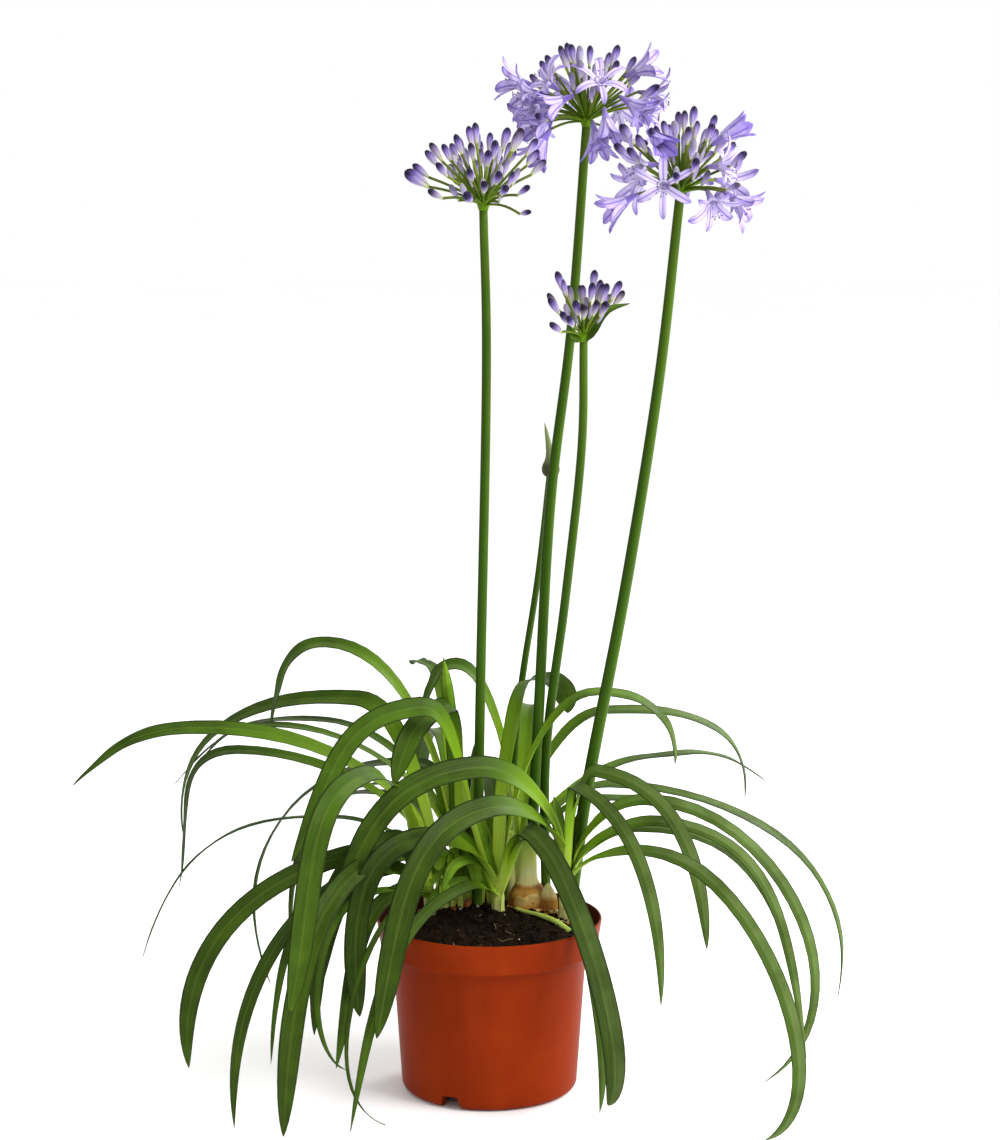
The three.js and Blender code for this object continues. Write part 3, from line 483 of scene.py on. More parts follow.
def tapered(skin, path, radii, sides, coat, **ribs):
    """A bar whose radius runs evenly from the first of radii at its foot to the second at its top."""
    last = len(path) - 1
    tube(skin, path, [lerp(*radii, i / last) for i in range(last + 1)], sides, coat, **ribs)


def revolve(skin, profile, sides):
    """Turns rows of (radius, height) about the vertical axis, where the first and last row lie."""
    foot = skin.point(UP * profile[0][1])
    rings = [skin.ring(circle(radius, height, sides)) for radius, height in profile[1:-1]]
    skin.cone(list(reversed(rings[0])), foot)
    for lower, upper in zip(rings, rings[1:]):
        skin.band(lower, upper)
    skin.cone(rings[-1], skin.point(UP * profile[-1][1]))


# ---------------------------------------------------------------- finishes


def colour(red, green, blue):
    """A colour given as 0 to 255 on screen."""
    shares = (level / 255 for level in (red, green, blue))
    return (*(s / 12.92 if s <= 0.04 else ((s + 0.055) / 1.055) ** 2.4 for s in shares), 1)


class Finish:
    """A node material, with short names for the nodes that these finishes share."""

    def __init__(self, name, specular):
        self.material = bpy.data.materials.new(name)
        self.material.use_nodes = True
        self.tree = self.material.node_tree
        self.shader = self.tree.nodes["Principled BSDF"]
        self.shader.inputs["Specular IOR Level"].default_value = specular

    def plug(self, socket, value):
        if isinstance(value, bpy.types.NodeSocket):
            self.tree.links.new(value, socket)
        else:
            socket.default_value = value

    def node(self, kind, inputs=(), **settings):
        """A new node with its settings, and a link or a plain value in each of the inputs given."""
        made = self.tree.nodes.new(kind)
        for key, value in settings.items():
            setattr(made, key, value)
        for key, value in dict(inputs).items():
            self.plug(made.inputs[key], value)
        return made

    def coat(self):
        """The (along, across, tone) that each point of the mesh carries."""
        read = self.node("ShaderNodeAttribute", attribute_name="coat")
        return self.node("ShaderNodeSeparateColor", {0: read.outputs["Color"]}).outputs

    def place(self):
        return self.node("ShaderNodeNewGeometry").outputs["Position"]

    def facing(self):
        return self.node("ShaderNodeNewGeometry").outputs["Normal"]

    def part(self, vector, axis):
        return self.node("ShaderNodeSeparateXYZ", {0: vector}).outputs[axis]

    def stretch(self, vector, scale):
        return self.node("ShaderNodeVectorMath", {0: vector, 1: scale}, operation="MULTIPLY").outputs[0]

    def outwardness(self):
        """Above 0 on a face turned away from the vertical axis, below 0 on one turned towards it."""
        inputs = {0: self.stretch(self.place(), (1, 1, 0)), 1: self.facing()}
        return self.node("ShaderNodeVectorMath", inputs, operation="DOT_PRODUCT").outputs["Value"]

    def math(self, operation, a, b=0.0):
        return self.node("ShaderNodeMath", {0: a, 1: b}, operation=operation).outputs[0]

    def off_middle(self, across):
        return self.math("ABSOLUTE", self.math("SUBTRACT", across, 0.5))

    def noise(self, vector, scale, detail=3, roughness=0.55):
        inputs = {"Vector": vector, "Scale": scale, "Detail": detail, "Roughness": roughness}
        return self.node("ShaderNodeTexNoise", inputs).outputs["Fac"]

    def streaks(self, stretch, scale, detail=3, apart=1):
        """Noise drawn out along the piece; tones a step apart have streaks of their own."""
        along, across, tone = self.coat()
        drawn = {0: across, 1: self.math("MULTIPLY", along, stretch), 2: self.math("MULTIPLY", tone, apart)}
        return self.noise(self.node("ShaderNodeCombineXYZ", drawn).outputs[0], scale, detail)

    def spread(self, value, low, high, to_low=0.0, to_high=1.0):
        """The value from low to high, as to_low to to_high, held at both ends."""
        inputs = {"Value": value, "From Min": low, "From Max": high, "To Min": to_low, "To Max": to_high}
        return self.node("ShaderNodeMapRange", inputs, clamp=True).outputs["Result"]

    def ramp(self, value, *stops):
        made = self.node("ShaderNodeValToRGB", {"Fac": value})
        elements = made.color_ramp.elements
        while len(elements) < len(stops):
            elements.new(1)
        for element, (at, shade) in zip(elements, stops):
            element.position = at
            element.color = colour(*shade)
        return made.outputs["Color"]

    def mix(self, factor, a, b):
        inputs = {"Factor": factor, "A": a, "B": b}
        return self.node("ShaderNodeMix", inputs, data_type="RGBA").outputs["Result"]

    def tint(self, shade, value, low, high, most, *rgb):
        """Moves a shade towards a colour: not at all where the value is low, by most where it is high."""
        return self.mix(self.spread(value, low, high, 0, most), shade, colour(*rgb))

    def paint(self, shade, grain, smooth, rough):
        self.plug(self.shader.inputs["Base Color"], shade)
        self.plug(self.shader.inputs["Roughness"], self.spread(grain, 0.3, 0.7, smooth, rough))

    def relief(self, height, depth, strength):
        """Adds the bump, and hands over the finished material."""
        inputs = {"Strength": strength, "Distance": depth * MM, "Height": height}
        self.plug(self.shader.inputs["Normal"], self.node("ShaderNodeBump", inputs).outputs["Normal"])
        return self.material


def grain_finish(name, specular, noise_settings, shades, roughness, relief):
    """A plain finish: one noise between two shades."""
    finish = Finish(name, specular)
    grain = finish.noise(finish.place(), *noise_settings)
    finish.paint(finish.ramp(grain, *zip((0.3, 0.7), shades)), grain, *roughness)
    return finish.relief(grain, *relief)


def leaf_finish():
    """Dark veined blades with a painted grey sheen where light falls, yellow-green at their bases, dry at
    their tips.
    """
    finish = Finish("leaf_skin", 0.07)
    along, across, tone = finish.coat()
    middle = finish.off_middle(across)
    veins = finish.streaks(0.35, 38, 2, 9)
    patches = finish.noise(finish.place(), 28, 4)
    shade = finish.ramp(
        finish.math("ADD", tone, finish.spread(patches, 0.35, 0.7, -0.14, 0.14)),
        (0, (20, 31, 6)), (0.35, (41, 60, 10)), (0.65, (66, 96, 18)), (0.85, (98, 138, 28)),
        (1, (140, 182, 48)),
    )
    # Painted shade: one half of the blade is darkened, as the shade of its fold.
    shade = finish.tint(shade, across, 0.56, 0.44, 0.38, 24, 42, 7)
    shade = finish.tint(shade, veins, 0.35, 0.7, 0.26, 88, 114, 30)
    shade = finish.tint(shade, middle, 0.06, 0.01, 0.14, 112, 140, 52)
    # Painted sheen: a grey-green reflection painted where the key light falls, on faces turned up and on the
    # leaves to the right.
    rightward = finish.spread(finish.part(finish.place(), "X"), 0.03, 0.15)
    skyward = finish.spread(finish.part(finish.facing(), "Z"), 0.75, 0.98, 0, 0.6)
    mottled = finish.math(
        "MULTIPLY", finish.spread(patches, 0.3, 0.65, 0.1, 0.55), finish.spread(across, 0.35, 0.55, 0.2, 1)
    )
    painted_sheen = finish.math("MULTIPLY", finish.math("MAXIMUM", rightward, skyward), mottled)
    shade = finish.mix(painted_sheen, shade, colour(112, 128, 80))
    shade = finish.tint(shade, middle, 0.4, 0.5, 0.9, 19, 27, 9)
    bright = finish.ramp(
        along, (0, (206, 210, 122)), (0.04, (204, 222, 92)), (0.11, (196, 222, 64)), (0.22, (152, 194, 38)),
        (0.42, (104, 150, 22)),
    )
    lined = finish.tint(bright, veins, 0.45, 0.65, 0.5, 224, 232, 170)
    base = finish.mix(finish.spread(along, 0.08, 0.26, 1, 0), bright, lined)
    shade = finish.mix(finish.spread(along, 0.12, 0.46, 1, 0), shade, base)
    finish.paint(finish.tint(shade, along, 0.975, 1, 0.8, 46, 40, 22), patches, 0.34, 0.5)
    return finish.relief(veins, 0.35, 0.6)


def sheath_finish():
    """The pale, slightly stained skin of a neck."""
    finish = Finish("neck_skin", 0.08)
    along, across, tone = finish.coat()
    streaks = finish.streaks(0.2, 60)
    shade = finish.ramp(
        along, (0, (140, 120, 74)), (0.25, (196, 190, 126)), (0.6, (204, 214, 128)), (1, (186, 208, 92))
    )
    shade = finish.tint(shade, streaks, 0.45, 0.75, 0.4, 142, 162, 58)
    shade = finish.tint(shade, finish.noise(finish.place(), 90), 0.58, 0.7, 0.5, 110, 74, 38)
    finish.paint(shade, streaks, 0.4, 0.6)
    return finish.relief(streaks, 0.5, 0.7)


def stalk_finish():
    """Satin green, with a painted highlight on the right-hand side and painted shade on the left."""
    finish = Finish("stalk_skin", 0.06)
    along, across, tone = finish.coat()
    streaks = finish.streaks(0.15, 26)
    shade = finish.ramp(
        along, (0, (108, 142, 48)), (0.12, (44, 76, 6)), (0.45, (39, 71, 4)), (0.75, (48, 75, 8)),
        (1, (68, 94, 18)),
    )
    # Painted light: lighter towards the right, where the key light falls, and painted shade on the left.
    shade = finish.tint(shade, across, 0.5, 1, 0.55, 92, 122, 38)
    shade = finish.tint(shade, across, 0.45, 0.1, 0.75, 22, 38, 3)
    shade = finish.tint(shade, streaks, 0.4, 0.7, 0.25, 80, 106, 26)
    shade = finish.tint(shade, finish.noise(finish.place(), 22), 0.35, 0.7, 0.3, 34, 54, 6)
    finish.paint(shade, streaks, 0.32, 0.46)
    return finish.relief(streaks, 0.3, 0.5)


def closed_bud_finish():
    """The greyish olive sheath of the closed bud, paler towards its beak."""
    finish = Finish("closed_bud_skin", 0.06)
    along, across, tone = finish.coat()
    streaks = finish.streaks(0.2, 30)
    shade = finish.ramp(
        along, (0, (54, 66, 18)), (0.2, (66, 62, 32)), (0.42, (66, 66, 40)), (0.56, (96, 106, 66)),
        (1, (132, 146, 96)),
    )
    finish.paint(finish.tint(shade, streaks, 0.4, 0.7, 0.45, 58, 48, 36), streaks, 0.4, 0.55)
    return finish.relief(streaks, 0.3, 0.5)


def pedicel_finish():
    finish = Finish("pedicel_skin", 0.06)
    along, across, tone = finish.coat()
    grain = finish.noise(finish.place(), 260)
    shade = finish.ramp(along, (0, (96, 136, 16)), (0.4, (74, 100, 14)), (1, (96, 104, 46)))
    shade = finish.tint(shade, grain, 0.35, 0.7, 0.45, 48, 62, 10)
    finish.paint(finish.tint(shade, tone, 0.55, 1, 0.5, 142, 162, 56), grain, 0.45, 0.6)
    return finish.relief(grain, 0.1, 0.5)


def bud_finish():
    """Green at the foot, then pale, violet and near-black. High tones are greyer, low ones paler."""
    finish = Finish("bud_skin", 0.08)
    along, across, tone = finish.coat()
    streaks = finish.streaks(0.2, 18)
    shade = finish.ramp(
        finish.math("ADD", along, finish.spread(streaks, 0.3, 0.7, -0.06, 0.06)),
        (0, (160, 176, 82)), (0.12, (194, 198, 142)), (0.28, (184, 174, 196)), (0.48, (146, 128, 186)),
        (0.6, (98, 82, 140)), (0.71, (46, 37, 66)), (0.8, (20, 16, 27)),
    )
    seams = finish.math("COSINE", finish.math("MULTIPLY", across, 6 * math.pi))
    shade = finish.tint(shade, seams, 0.1, 1, 0.5, 82, 64, 136)
    grey = finish.ramp(
        along, (0, (160, 176, 92)), (0.35, (164, 158, 150)), (0.58, (108, 98, 108)), (0.76, (26, 21, 28))
    )
    shade = finish.mix(finish.spread(tone, 0.6, 1, 0, 0.8), shade, grey)
    finish.paint(finish.tint(shade, tone, 0.2, 0, 0.6, 204, 198, 212), streaks, 0.42, 0.62)
    return finish.relief(streaks, 0.3, 0.5)


def tepal_finish():
    """Pale violet petals with a dark midrib, veins and darker rims, on a greyer tube; deeper in low tones."""
    finish = Finish("tepal_skin", 0.08)
    along, across, tone = finish.coat()
    middle = finish.off_middle(across)
    veins = finish.streaks(0.2, 22, 2)
    shade = finish.ramp(
        along, (0, (116, 106, 134)), (0.26, (158, 142, 196)), (0.34, (220, 212, 232)), (0.5, (210, 198, 230)),
        (0.8, (194, 179, 224)), (1, (110, 92, 166)),
    )
    shade = finish.tint(shade, veins, 0.45, 0.75, 0.32, 138, 118, 198)
    shade = finish.tint(shade, middle, 0.13, 0.04, 0.8, 104, 83, 172)
    shade = finish.tint(shade, middle, 0.4, 0.5, 0.5, 120, 99, 182)
    shade = finish.tint(shade, tone, 0.55, 1, 0.2, 196, 184, 222)
    shade = finish.tint(shade, tone, 0.5, 0, 0.5, 128, 105, 200)
    finish.paint(shade, veins, 0.5, 0.7)
    finish.shader.inputs["Subsurface Weight"].default_value = 0.1
    finish.shader.inputs["Subsurface Radius"].default_value = (0.002, 0.0015, 0.003)
    return finish.relief(veins, 0.3, 0.5)


def anther_finish():
    return grain_finish("anther_skin", 0.1, (600,), ((52, 40, 44), (104, 84, 78)), (0.6, 0.9), (0.2, 0.8))


def filament_finish():
    finish = Finish("filament_skin", 0.15)
    along, across, tone = finish.coat()
    grain = finish.noise(finish.place(), 400, 2)
    shade = finish.ramp(along, (0, (206, 200, 222)), (1, (132, 114, 186)))
    finish.paint(finish.tint(shade, grain, 0.3, 0.7, 0.3, 160, 150, 190), grain, 0.4, 0.6)
    return finish.relief(grain, 0.05, 0.4)


def pot_finish():
    """Satin terracotta-coloured plastic with faint flow streaks, darker inside with painted shade and some
    soil stain.
    """
    finish = Finish("pot_skin", 0.03)
    place = finish.place()
    clouds = finish.noise(place, 14, 4)
    pores = finish.noise(place, 420, 2)
    flow = finish.noise(finish.stretch(place, (1, 1, 0.12)), 60)
    shade = finish.ramp(clouds, (0.3, (116, 34, 4)), (0.55, (125, 38, 5)), (0.75, (134, 43, 6)))
    shade = finish.tint(shade, flow, 0.4, 0.7, 0.18, 146, 55, 13)
    # Painted shade with some soil stain: faces turned in towards the axis are darkened.
    finish.paint(finish.tint(shade, finish.outwardness(), -0.02, -0.06, 0.8, 44, 20, 10), clouds, 0.34, 0.46)
    return finish.relief(finish.math("ADD", finish.math("MULTIPLY", pores, 0.4), flow), 0.1, 0.5)


def soil_finish():
    finish = Finish("soil_crumb", 0.04)
    place = finish.place()
    clods = finish.noise(place, 160, 6, 0.7)
    grit = finish.noise(place, 900, 4, 0.7)
    shade = finish.ramp(
        clods, (0.3, (12, 8, 5)), (0.5, (26, 18, 12)), (0.64, (44, 31, 21)), (0.78, (80, 58, 38))
    )
    finish.paint(finish.tint(shade, grit, 0.45, 0.7, 0.35, 54, 39, 26), grit, 0.75, 0.98)
    return finish.relief(finish.math("ADD", clods, finish.math("MULTIPLY", grit, 0.4)), 2.2, 1)


def bark_finish():
    finish = Finish("bark_chip", 0.15)
    along, across, tone = finish.coat()
    grain = finish.streaks(0.3, 14)
    shade = finish.ramp(
        tone, (0, (26, 16, 11)), (0.5, (66, 38, 22)), (0.8, (170, 84, 30)), (1, (206, 130, 70))
    )
    finish.paint(finish.tint(shade, grain, 0.4, 0.7, 0.55, 44, 28, 18), grain, 0.6, 0.85)
    return finish.relief(finish.math("ADD", grain, finish.noise(finish.place(), 700)), 0.4, 0.8)


def perlite_finish():
    shades = (150, 142, 124), (214, 208, 194)
    return grain_finish("perlite_grain", 0.15, (1200, 4, 0.7), shades, (0.7, 0.95), (0.5, 1))


def root_finish():
    return grain_finish("root_hair", 0.15, (500,), ((104, 84, 58), (172, 152, 112)), (0.5, 0.7), (0.2, 0.6))


def bulb_finish():
    """Golden brown skins on the bulb, cream to green up its neck; tones over a half are torn brown husk."""
    finish = Finish("bulb_husk", 0.1)
    along, across, tone = finish.coat()
    fibres = finish.streaks(0.12, 34, 4)
    skin = finish.ramp(
        along, (0, (120, 74, 26)), (0.2, (170, 122, 50)), (0.36, (194, 146, 70)), (0.46, (168, 116, 48)),
        (0.53, (220, 204, 140)), (0.7, (224, 222, 156)), (0.85, (196, 212, 104)), (1, (112, 156, 34)),
    )
    husk = finish.ramp(along, (0, (112, 62, 20)), (0.4, (184, 130, 56)), (1, (206, 160, 84)))
    layered = finish.mix(finish.spread(tone, 0.4, 0.6, 0, 0.9), skin, husk)
    worn = finish.tint(layered, fibres, 0.45, 0.7, 0.5, 148, 92, 34)
    worn = finish.tint(worn, finish.noise(finish.place(), 90, 4), 0.5, 0.62, 0.65, 120, 62, 24)
    finish.paint(finish.mix(finish.spread(along, 0.5, 0.56, 0, 0.8), worn, layered), fibres, 0.42, 0.7)
    return finish.relief(fibres, 0.5, 0.6)


def floor_finish():
    shades = (254, 254, 254), (255, 255, 255)
    return grain_finish("pale_floor", 0.1, (2, 2), shades, (0.88, 0.92), (0.02, 0.1))


# ---------------------------------------------------------------- pot and soil


def body_radius(height):
    """The pot's outer radius at a height below its band."""
    return lerp(POT.base_radius, POT.shoulder_radius, height / (POT.height - POT.band_height))


def pot_profile():
    """The pot's section: out along the underside, up the outside, over the rim and down the inside."""
    wall = POT.wall
    rim = POT.rim_radius
    top = POT.height
    band = POT.band_foot_radius
    ledge = top - POT.band_height
    floor = POT.floor_height
    foot = POT.foot_inner_radius
    dish = POT.dish_radius
    dish_top = dish + POT.dish_slope
    bend = POT.base_round
    turns = [math.radians(angle) for angle in range(90, -1, -10)]
    inner = body_radius(bend) - bend
    corner = [(inner + bend * math.cos(turn), bend * (1 - math.sin(turn))) for turn in turns]
    return [
        (0, 0), (dish, 0), (dish_top, floor), (foot, floor), (foot, 0), *corner,
        (body_radius(40), 40), (body_radius(80), 80), (body_radius(ledge - 5), ledge - 5),
        (body_radius(ledge - 4) + 0.2, ledge - 3.4), (body_radius(ledge) + 1, ledge - 1.4),
        (band - 2.2, ledge - 0.5), (band - 0.8, ledge), (band - 0.1, ledge + 0.6), (band, ledge + 1.5),
        (rim - 0.25, top - 3), (rim, top - 1.6), (rim - 0.1, top - 0.8), (rim - 0.4, top - 0.15),
        (rim - 0.9, top), (rim - wall + 0.3, top - 0.1), (rim - wall, top - 0.6),
        (band - wall, ledge + 2.2), (body_radius(ledge) - wall, ledge - 1),
        (body_radius(floor) - wall, floor + wall + 2), (body_radius(floor) - wall - 2, floor + wall),
        (dish_top - wall, floor + wall), (dish - wall, wall), (0, wall),
    ]


def cut(piece, tool):
    """Takes the tool's shape out of the piece, for good."""
    step = piece.modifiers.new("cut", "BOOLEAN")
    step.operation = "DIFFERENCE"
    step.solver = "EXACT"
    step.object = tool
    whole = piece.evaluated_get(bpy.context.evaluated_depsgraph_get())
    mesh = bpy.data.meshes.new_from_object(whole)
    piece.modifiers.clear()
    piece.data = mesh
    bpy.data.objects.remove(tool)


def notches():
    """The drain notches, as tapered blocks through the ring that the pot stands on."""
    skin = Skin()
    wide = NOTCH.width / 2
    narrow = NOTCH.top_width / 2
    top = NOTCH.height
    outline = [
        (-wide, -1), (wide, -1), (narrow + 0.6, top - 0.8), (narrow - 0.4, top), (0.4 - narrow, top),
        (-narrow - 0.6, top - 0.8),
    ]
    for i in range(NOTCH.count):
        azimuth = NOTCH.first_azimuth + 360 / NOTCH.count * i
        out = heading(azimuth)
        side = heading(azimuth + 90)
        reaches = (POT.base_radius - NOTCH.inward, POT.base_radius + NOTCH.outward)
        skin.close([skin.ring([out * reach + side * x + UP * z for x, z in outline]) for reach in reaches])
    return skin.build("notch_tool")


def add_pot():
    skin = Skin()
    revolve(skin, pot_profile(), POT.sides)
    pot = skin.build("growers_pot", pot_finish())
    bpy.context.view_layer.update()
    cut(pot, notches())
    pot.data.polygons.foreach_set("use_smooth", [True] * len(pot.data.polygons))
    pot.data.set_sharp_from_angle(angle=math.radians(38))
    settle(pot, "pot_plastic", "pot")


def soil_level(radius):
    rise = max(0, 1 - radius / POT.band_foot_radius)
    return lerp(SOIL.edge_height, SOIL.middle_height, min(1, rise * 2.2))


def soil_height(x, y):
    """The crumbly top: clods and finer crumbs over a gentle rise, level where it meets the pot."""
    radius = math.hypot(x, y)
    rough = 0
    for pitch, layer, height in SOIL.relief:
        rough += height * noise.noise(Vector((x * pitch, y * pitch, layer)))
    return soil_level(radius) + rough * min(1, max(0, (81 - radius) / 5))


def on_soil(x, y, lift=0):
    return Vector((x, y, soil_height(x, y) + lift))


def add_soil():
    skin = Skin()
    ledge = POT.height - POT.band_height
    inside = POT.wall + SOIL.gap
    edge = POT.band_foot_radius - inside
    lip = edge + SOIL.lip
    lower = [
        (body_radius(SOIL.floor) - inside, SOIL.floor), (body_radius(ledge - 0.7) - inside, ledge - 0.7),
        (edge, ledge + 2.5), (lip, SOIL.edge_height),
    ]
    rings = [skin.ring(circle(radius, height, SOIL.sides)) for radius, height in lower]
    for i in range(1, SOIL.rings):
        places = circle(lip * (1 - i / SOIL.rings), 0, SOIL.sides)
        rings.append(skin.ring([on_soil(place.x, place.y) for place in places]))
    skin.close(rings, skin.point(on_soil(0, 0)))
    settle(skin.build("soil_ground", soil_finish()), "potting_soil", "soil")


def lump(skin, centre, size, rng, tone=0.5):
    """A small broken grain: a rough ball of three rings, with its own proportions and turn."""
    turn = Matrix.Rotation(rng.uniform(0, 6.3), 3, "Z") @ Matrix.Rotation(rng.uniform(-0.5, 0.5), 3, "X")
    wide, deep, high = size
    sides = 7
    rings = []
    for height, radius in ((-0.7, 0.6), (0, 1), (0.65, 0.65)):
        places = []
        for j in range(sides):
            spoke = heading(360 * j / sides) * (radius * rng.uniform(0.75, 1.2))
            spot = Vector((spoke.x * wide, spoke.y * deep, height * high * rng.uniform(0.8, 1.15)))
            places.append(centre + turn @ spot)
        rings.append(skin.ring(places, [(height, j / sides, tone) for j in range(sides)]))
    skin.close(rings, skin.point(centre + turn @ Vector((0, 0, 0.95 * high)), (1, 0, tone)))


def ground_spot(rng, inner=6, outer=78):
    radius = math.sqrt(rng.uniform(inner**2, outer**2))
    place = heading(rng.uniform(0, 360)) * radius
    return on_soil(place.x, place.y)


def add_crumbs():
    rng = random.Random(31)
    skin = Skin()
    for _ in range(1300):
        size = rng.uniform(0.5, 1.7) ** 1.3
        lump(skin, ground_spot(rng), (size, size * rng.uniform(0.6, 1), size * rng.uniform(0.5, 0.9)), rng)
    for _ in range(90):
        size = rng.uniform(2, 4.2)
        lump(skin, ground_spot(rng, 6, 72), (size, size * rng.uniform(0.6, 1), 0.5 * size), rng)
    settle(skin.build("soil_crumbs", soil_finish()), "potting_soil")
    chips = Skin()
    for _ in range(60):
        length = rng.uniform(1.4, 3.6)
        spot = ground_spot(rng) + UP * 0.5
        size = (length, length * rng.uniform(0.25, 0.5), rng.uniform(0.4, 0.9))
        lump(chips, spot, size, rng, rng.uniform(0, 0.62))
    for x, y, size, tone in CHIPS:
        lump(chips, on_soil(x, y, 0.45 * size), (size, 0.5 * size, 0.75 * size), rng, tone)
    settle(chips.build("bark_chips", bark_finish()), "potting_soil")
    grains = Skin()
    for _ in range(9):
        size = rng.uniform(0.5, 1.1)
        lump(grains, ground_spot(rng) + UP * 0.4, (size, size * 0.85, size * 0.8), rng)
    for x, y in GRAINS:
        lump(grains, on_soil(x, y, 1), (1.6, 1.4, 1.2), rng)
    settle(grains.build("perlite_grains", perlite_finish()), "potting_soil")


def add_root_hairs():
    rng = random.Random(17)
    skin = Skin()
    starts = [ground_spot(rng, 10, 70) for _ in range(6)] + [Vector((6, -16, 0)), Vector((12, -30, 0))]
    for start in starts:
        azimuth = rng.uniform(0, 360)
        spots = []
        for i in range(4):
            place = start + heading(azimuth) * (4 * i)
            if math.hypot(place.x, place.y) > 76:
                break
            spots.append(on_soil(place.x, place.y, rng.uniform(0.3, 1.2)))
            azimuth += rng.uniform(-30, 30)
        if len(spots) > 2:
            path = catmull(spots, 5)
            radius = rng.uniform(0.14, 0.26)
            tube(skin, path, [radius] * (len(path) - 1) + [0], 6, wrapped(0.5))
    settle(skin.build("root_hairs", root_finish()), "potting_soil")


# ---------------------------------------------------------------- leaves


def bezier(a, b, c, d, t):
    return tuple(
        (1 - t) ** 3 * p + 3 * (1 - t) ** 2 * t * q + 3 * (1 - t) * t**2 * r + t**3 * s
        for p, q, r, s in zip(a, b, c, d)
    )


def leaf_profile(leaf):
    """The leaf's middle line as (out, up) points, before it is turned to its azimuth; closer near the tip."""
    knee = LEAF.knee
    tip = leaf.tip
    if not leaf.crest:
        line = (knee, (knee[0], 0.4 * tip[1]), (0.5 * tip[0], 0.75 * tip[1]), tip)
        return LEAF.foot + [bezier(*line, i / LEAF.upright) for i in range(LEAF.upright + 1)]
    out, up = leaf.crest
    hang = math.radians(leaf.hang)
    reach = leaf.fall * math.hypot(tip[0] - out, tip[1] - up)
    above = (tip[0] - reach * math.cos(hang), tip[1] + reach * math.sin(hang))
    rise = (knee, (leaf.lean * out, max(15, 0.6 * up)), (0.5 * out, up), leaf.crest)
    fall = (leaf.crest, (out + reach, up), above, tip)
    rising = [bezier(*rise, i / LEAF.rise) for i in range(LEAF.rise)]
    falling = [bezier(*fall, 1 - (1 - i / LEAF.fall) ** 1.35) for i in range(LEAF.fall + 1)]
    return LEAF.foot + rising + falling


# Places of the section's points across the blade, from edge to edge.
ACROSS = (-1, -0.82, -0.5, -0.2, 0, 0.2, 0.5, 0.82, 1)


def blade(skin, path, side, widths, rolls, tone, thin=1.0, wave=0.0, phase=0.0, marks=None, clasp=0.0):
    """A closed strap along the path: a rounded channel above, deepest where it clasps, and a keel below."""
    along = tangents(path)
    rings = []
    for i, centre in enumerate(path):
        s = marks[i] if marks else i / (len(path) - 1)
        turn = math.radians(rolls[i])
        flat = (side - along[i] * side.dot(along[i])).normalized()
        face = -along[i].cross(flat)
        across = flat * math.cos(turn) + face * math.sin(turn)
        normal = face * math.cos(turn) - flat * math.sin(turn)
        half = widths[i] / 2
        channel = LEAF.channel + clasp * max(0, 1 - s / 0.3)
        upper = []
        lower = []
        for x in ACROSS:
            ripple = wave * x * x * math.sin(s * 34 + phase + (1.7 if x > 0 else 0))
            thick = thin * lerp(LEAF.middle, LEAF.edge, x * x) * min(1, half / 2 + 0.3)
            middle = centre + across * (half * x) - normal * (channel * half * abs(x) ** 1.5 + ripple)
            upper.append(middle + normal * (thick / 2))
            lower.append(middle - normal * (thick / 2))
        coats = [(s, 0.5 + x / 2, tone) for x in ACROSS]
        rings.append(skin.ring(upper + lower[::-1], coats + coats[::-1]))
    skin.close(rings)


def leaf_width(s, point):
    """Narrow in the neck and full from a third of the way up, with a short arched or a long slender tip."""
    root = 0.42 + 0.58 * min(1, s / 0.32)
    start = lerp(0.76, 0.35, point)
    taper = max(0, (s - start) / (1 - start)) ** lerp(2.4, 1.5, point)
    return root * max(0.04, 1 - taper)


def add_leaf(skin, leaf, foot, rng):
    out = heading(leaf.azimuth)
    side = heading(leaf.azimuth + 90)
    base = Vector((*(leaf.foot or foot), GROUND))
    profile = leaf_profile(leaf)
    path = []
    widths = []
    rolls = []
    for i, (reach, height) in enumerate(profile):
        s = i / (len(profile) - 1)
        path.append(base + out * reach + UP * height + side * (leaf.bend * s**2))
        widths.append(leaf.width * leaf_width(s, leaf.point))
        rolls.append(leaf.roll * min(1, 2.5 * s))
    blade(skin, path, side, widths, rolls, leaf.tone, wave=0.35, phase=rng.uniform(0, 6.3), clasp=0.8)


def add_neck(skin, foot, radius):
    """The pale neck of clasping leaf bases under a shoot's fan."""
    rows = [(-14, 0.6), (-2, 0.54), (3, 0.47), (7, 0.45), (11, 0.47), (14, 0.43), (17, 0.26), (18.5, 0.08)]
    column(skin, Vector((*foot, GROUND)), rows, radius, NECK_SIDES, folded(0.5), ribs=0.1, rib_count=5)


def add_shoots():
    leaf_skin = leaf_finish()
    neck_skin = sheath_finish()
    rng = random.Random(5)
    for name, (foot, radius, leaves) in SHOOTS.items():
        skin = Skin()
        for leaf in leaves:
            add_leaf(skin, leaf, foot, rng)
        skin.finish = 1
        add_neck(skin, foot, radius)
        settle(skin.build(name.replace("shoot", "leaves"), leaf_skin, neck_skin), "leaf", name)


# ---------------------------------------------------------------- bulb and stalks


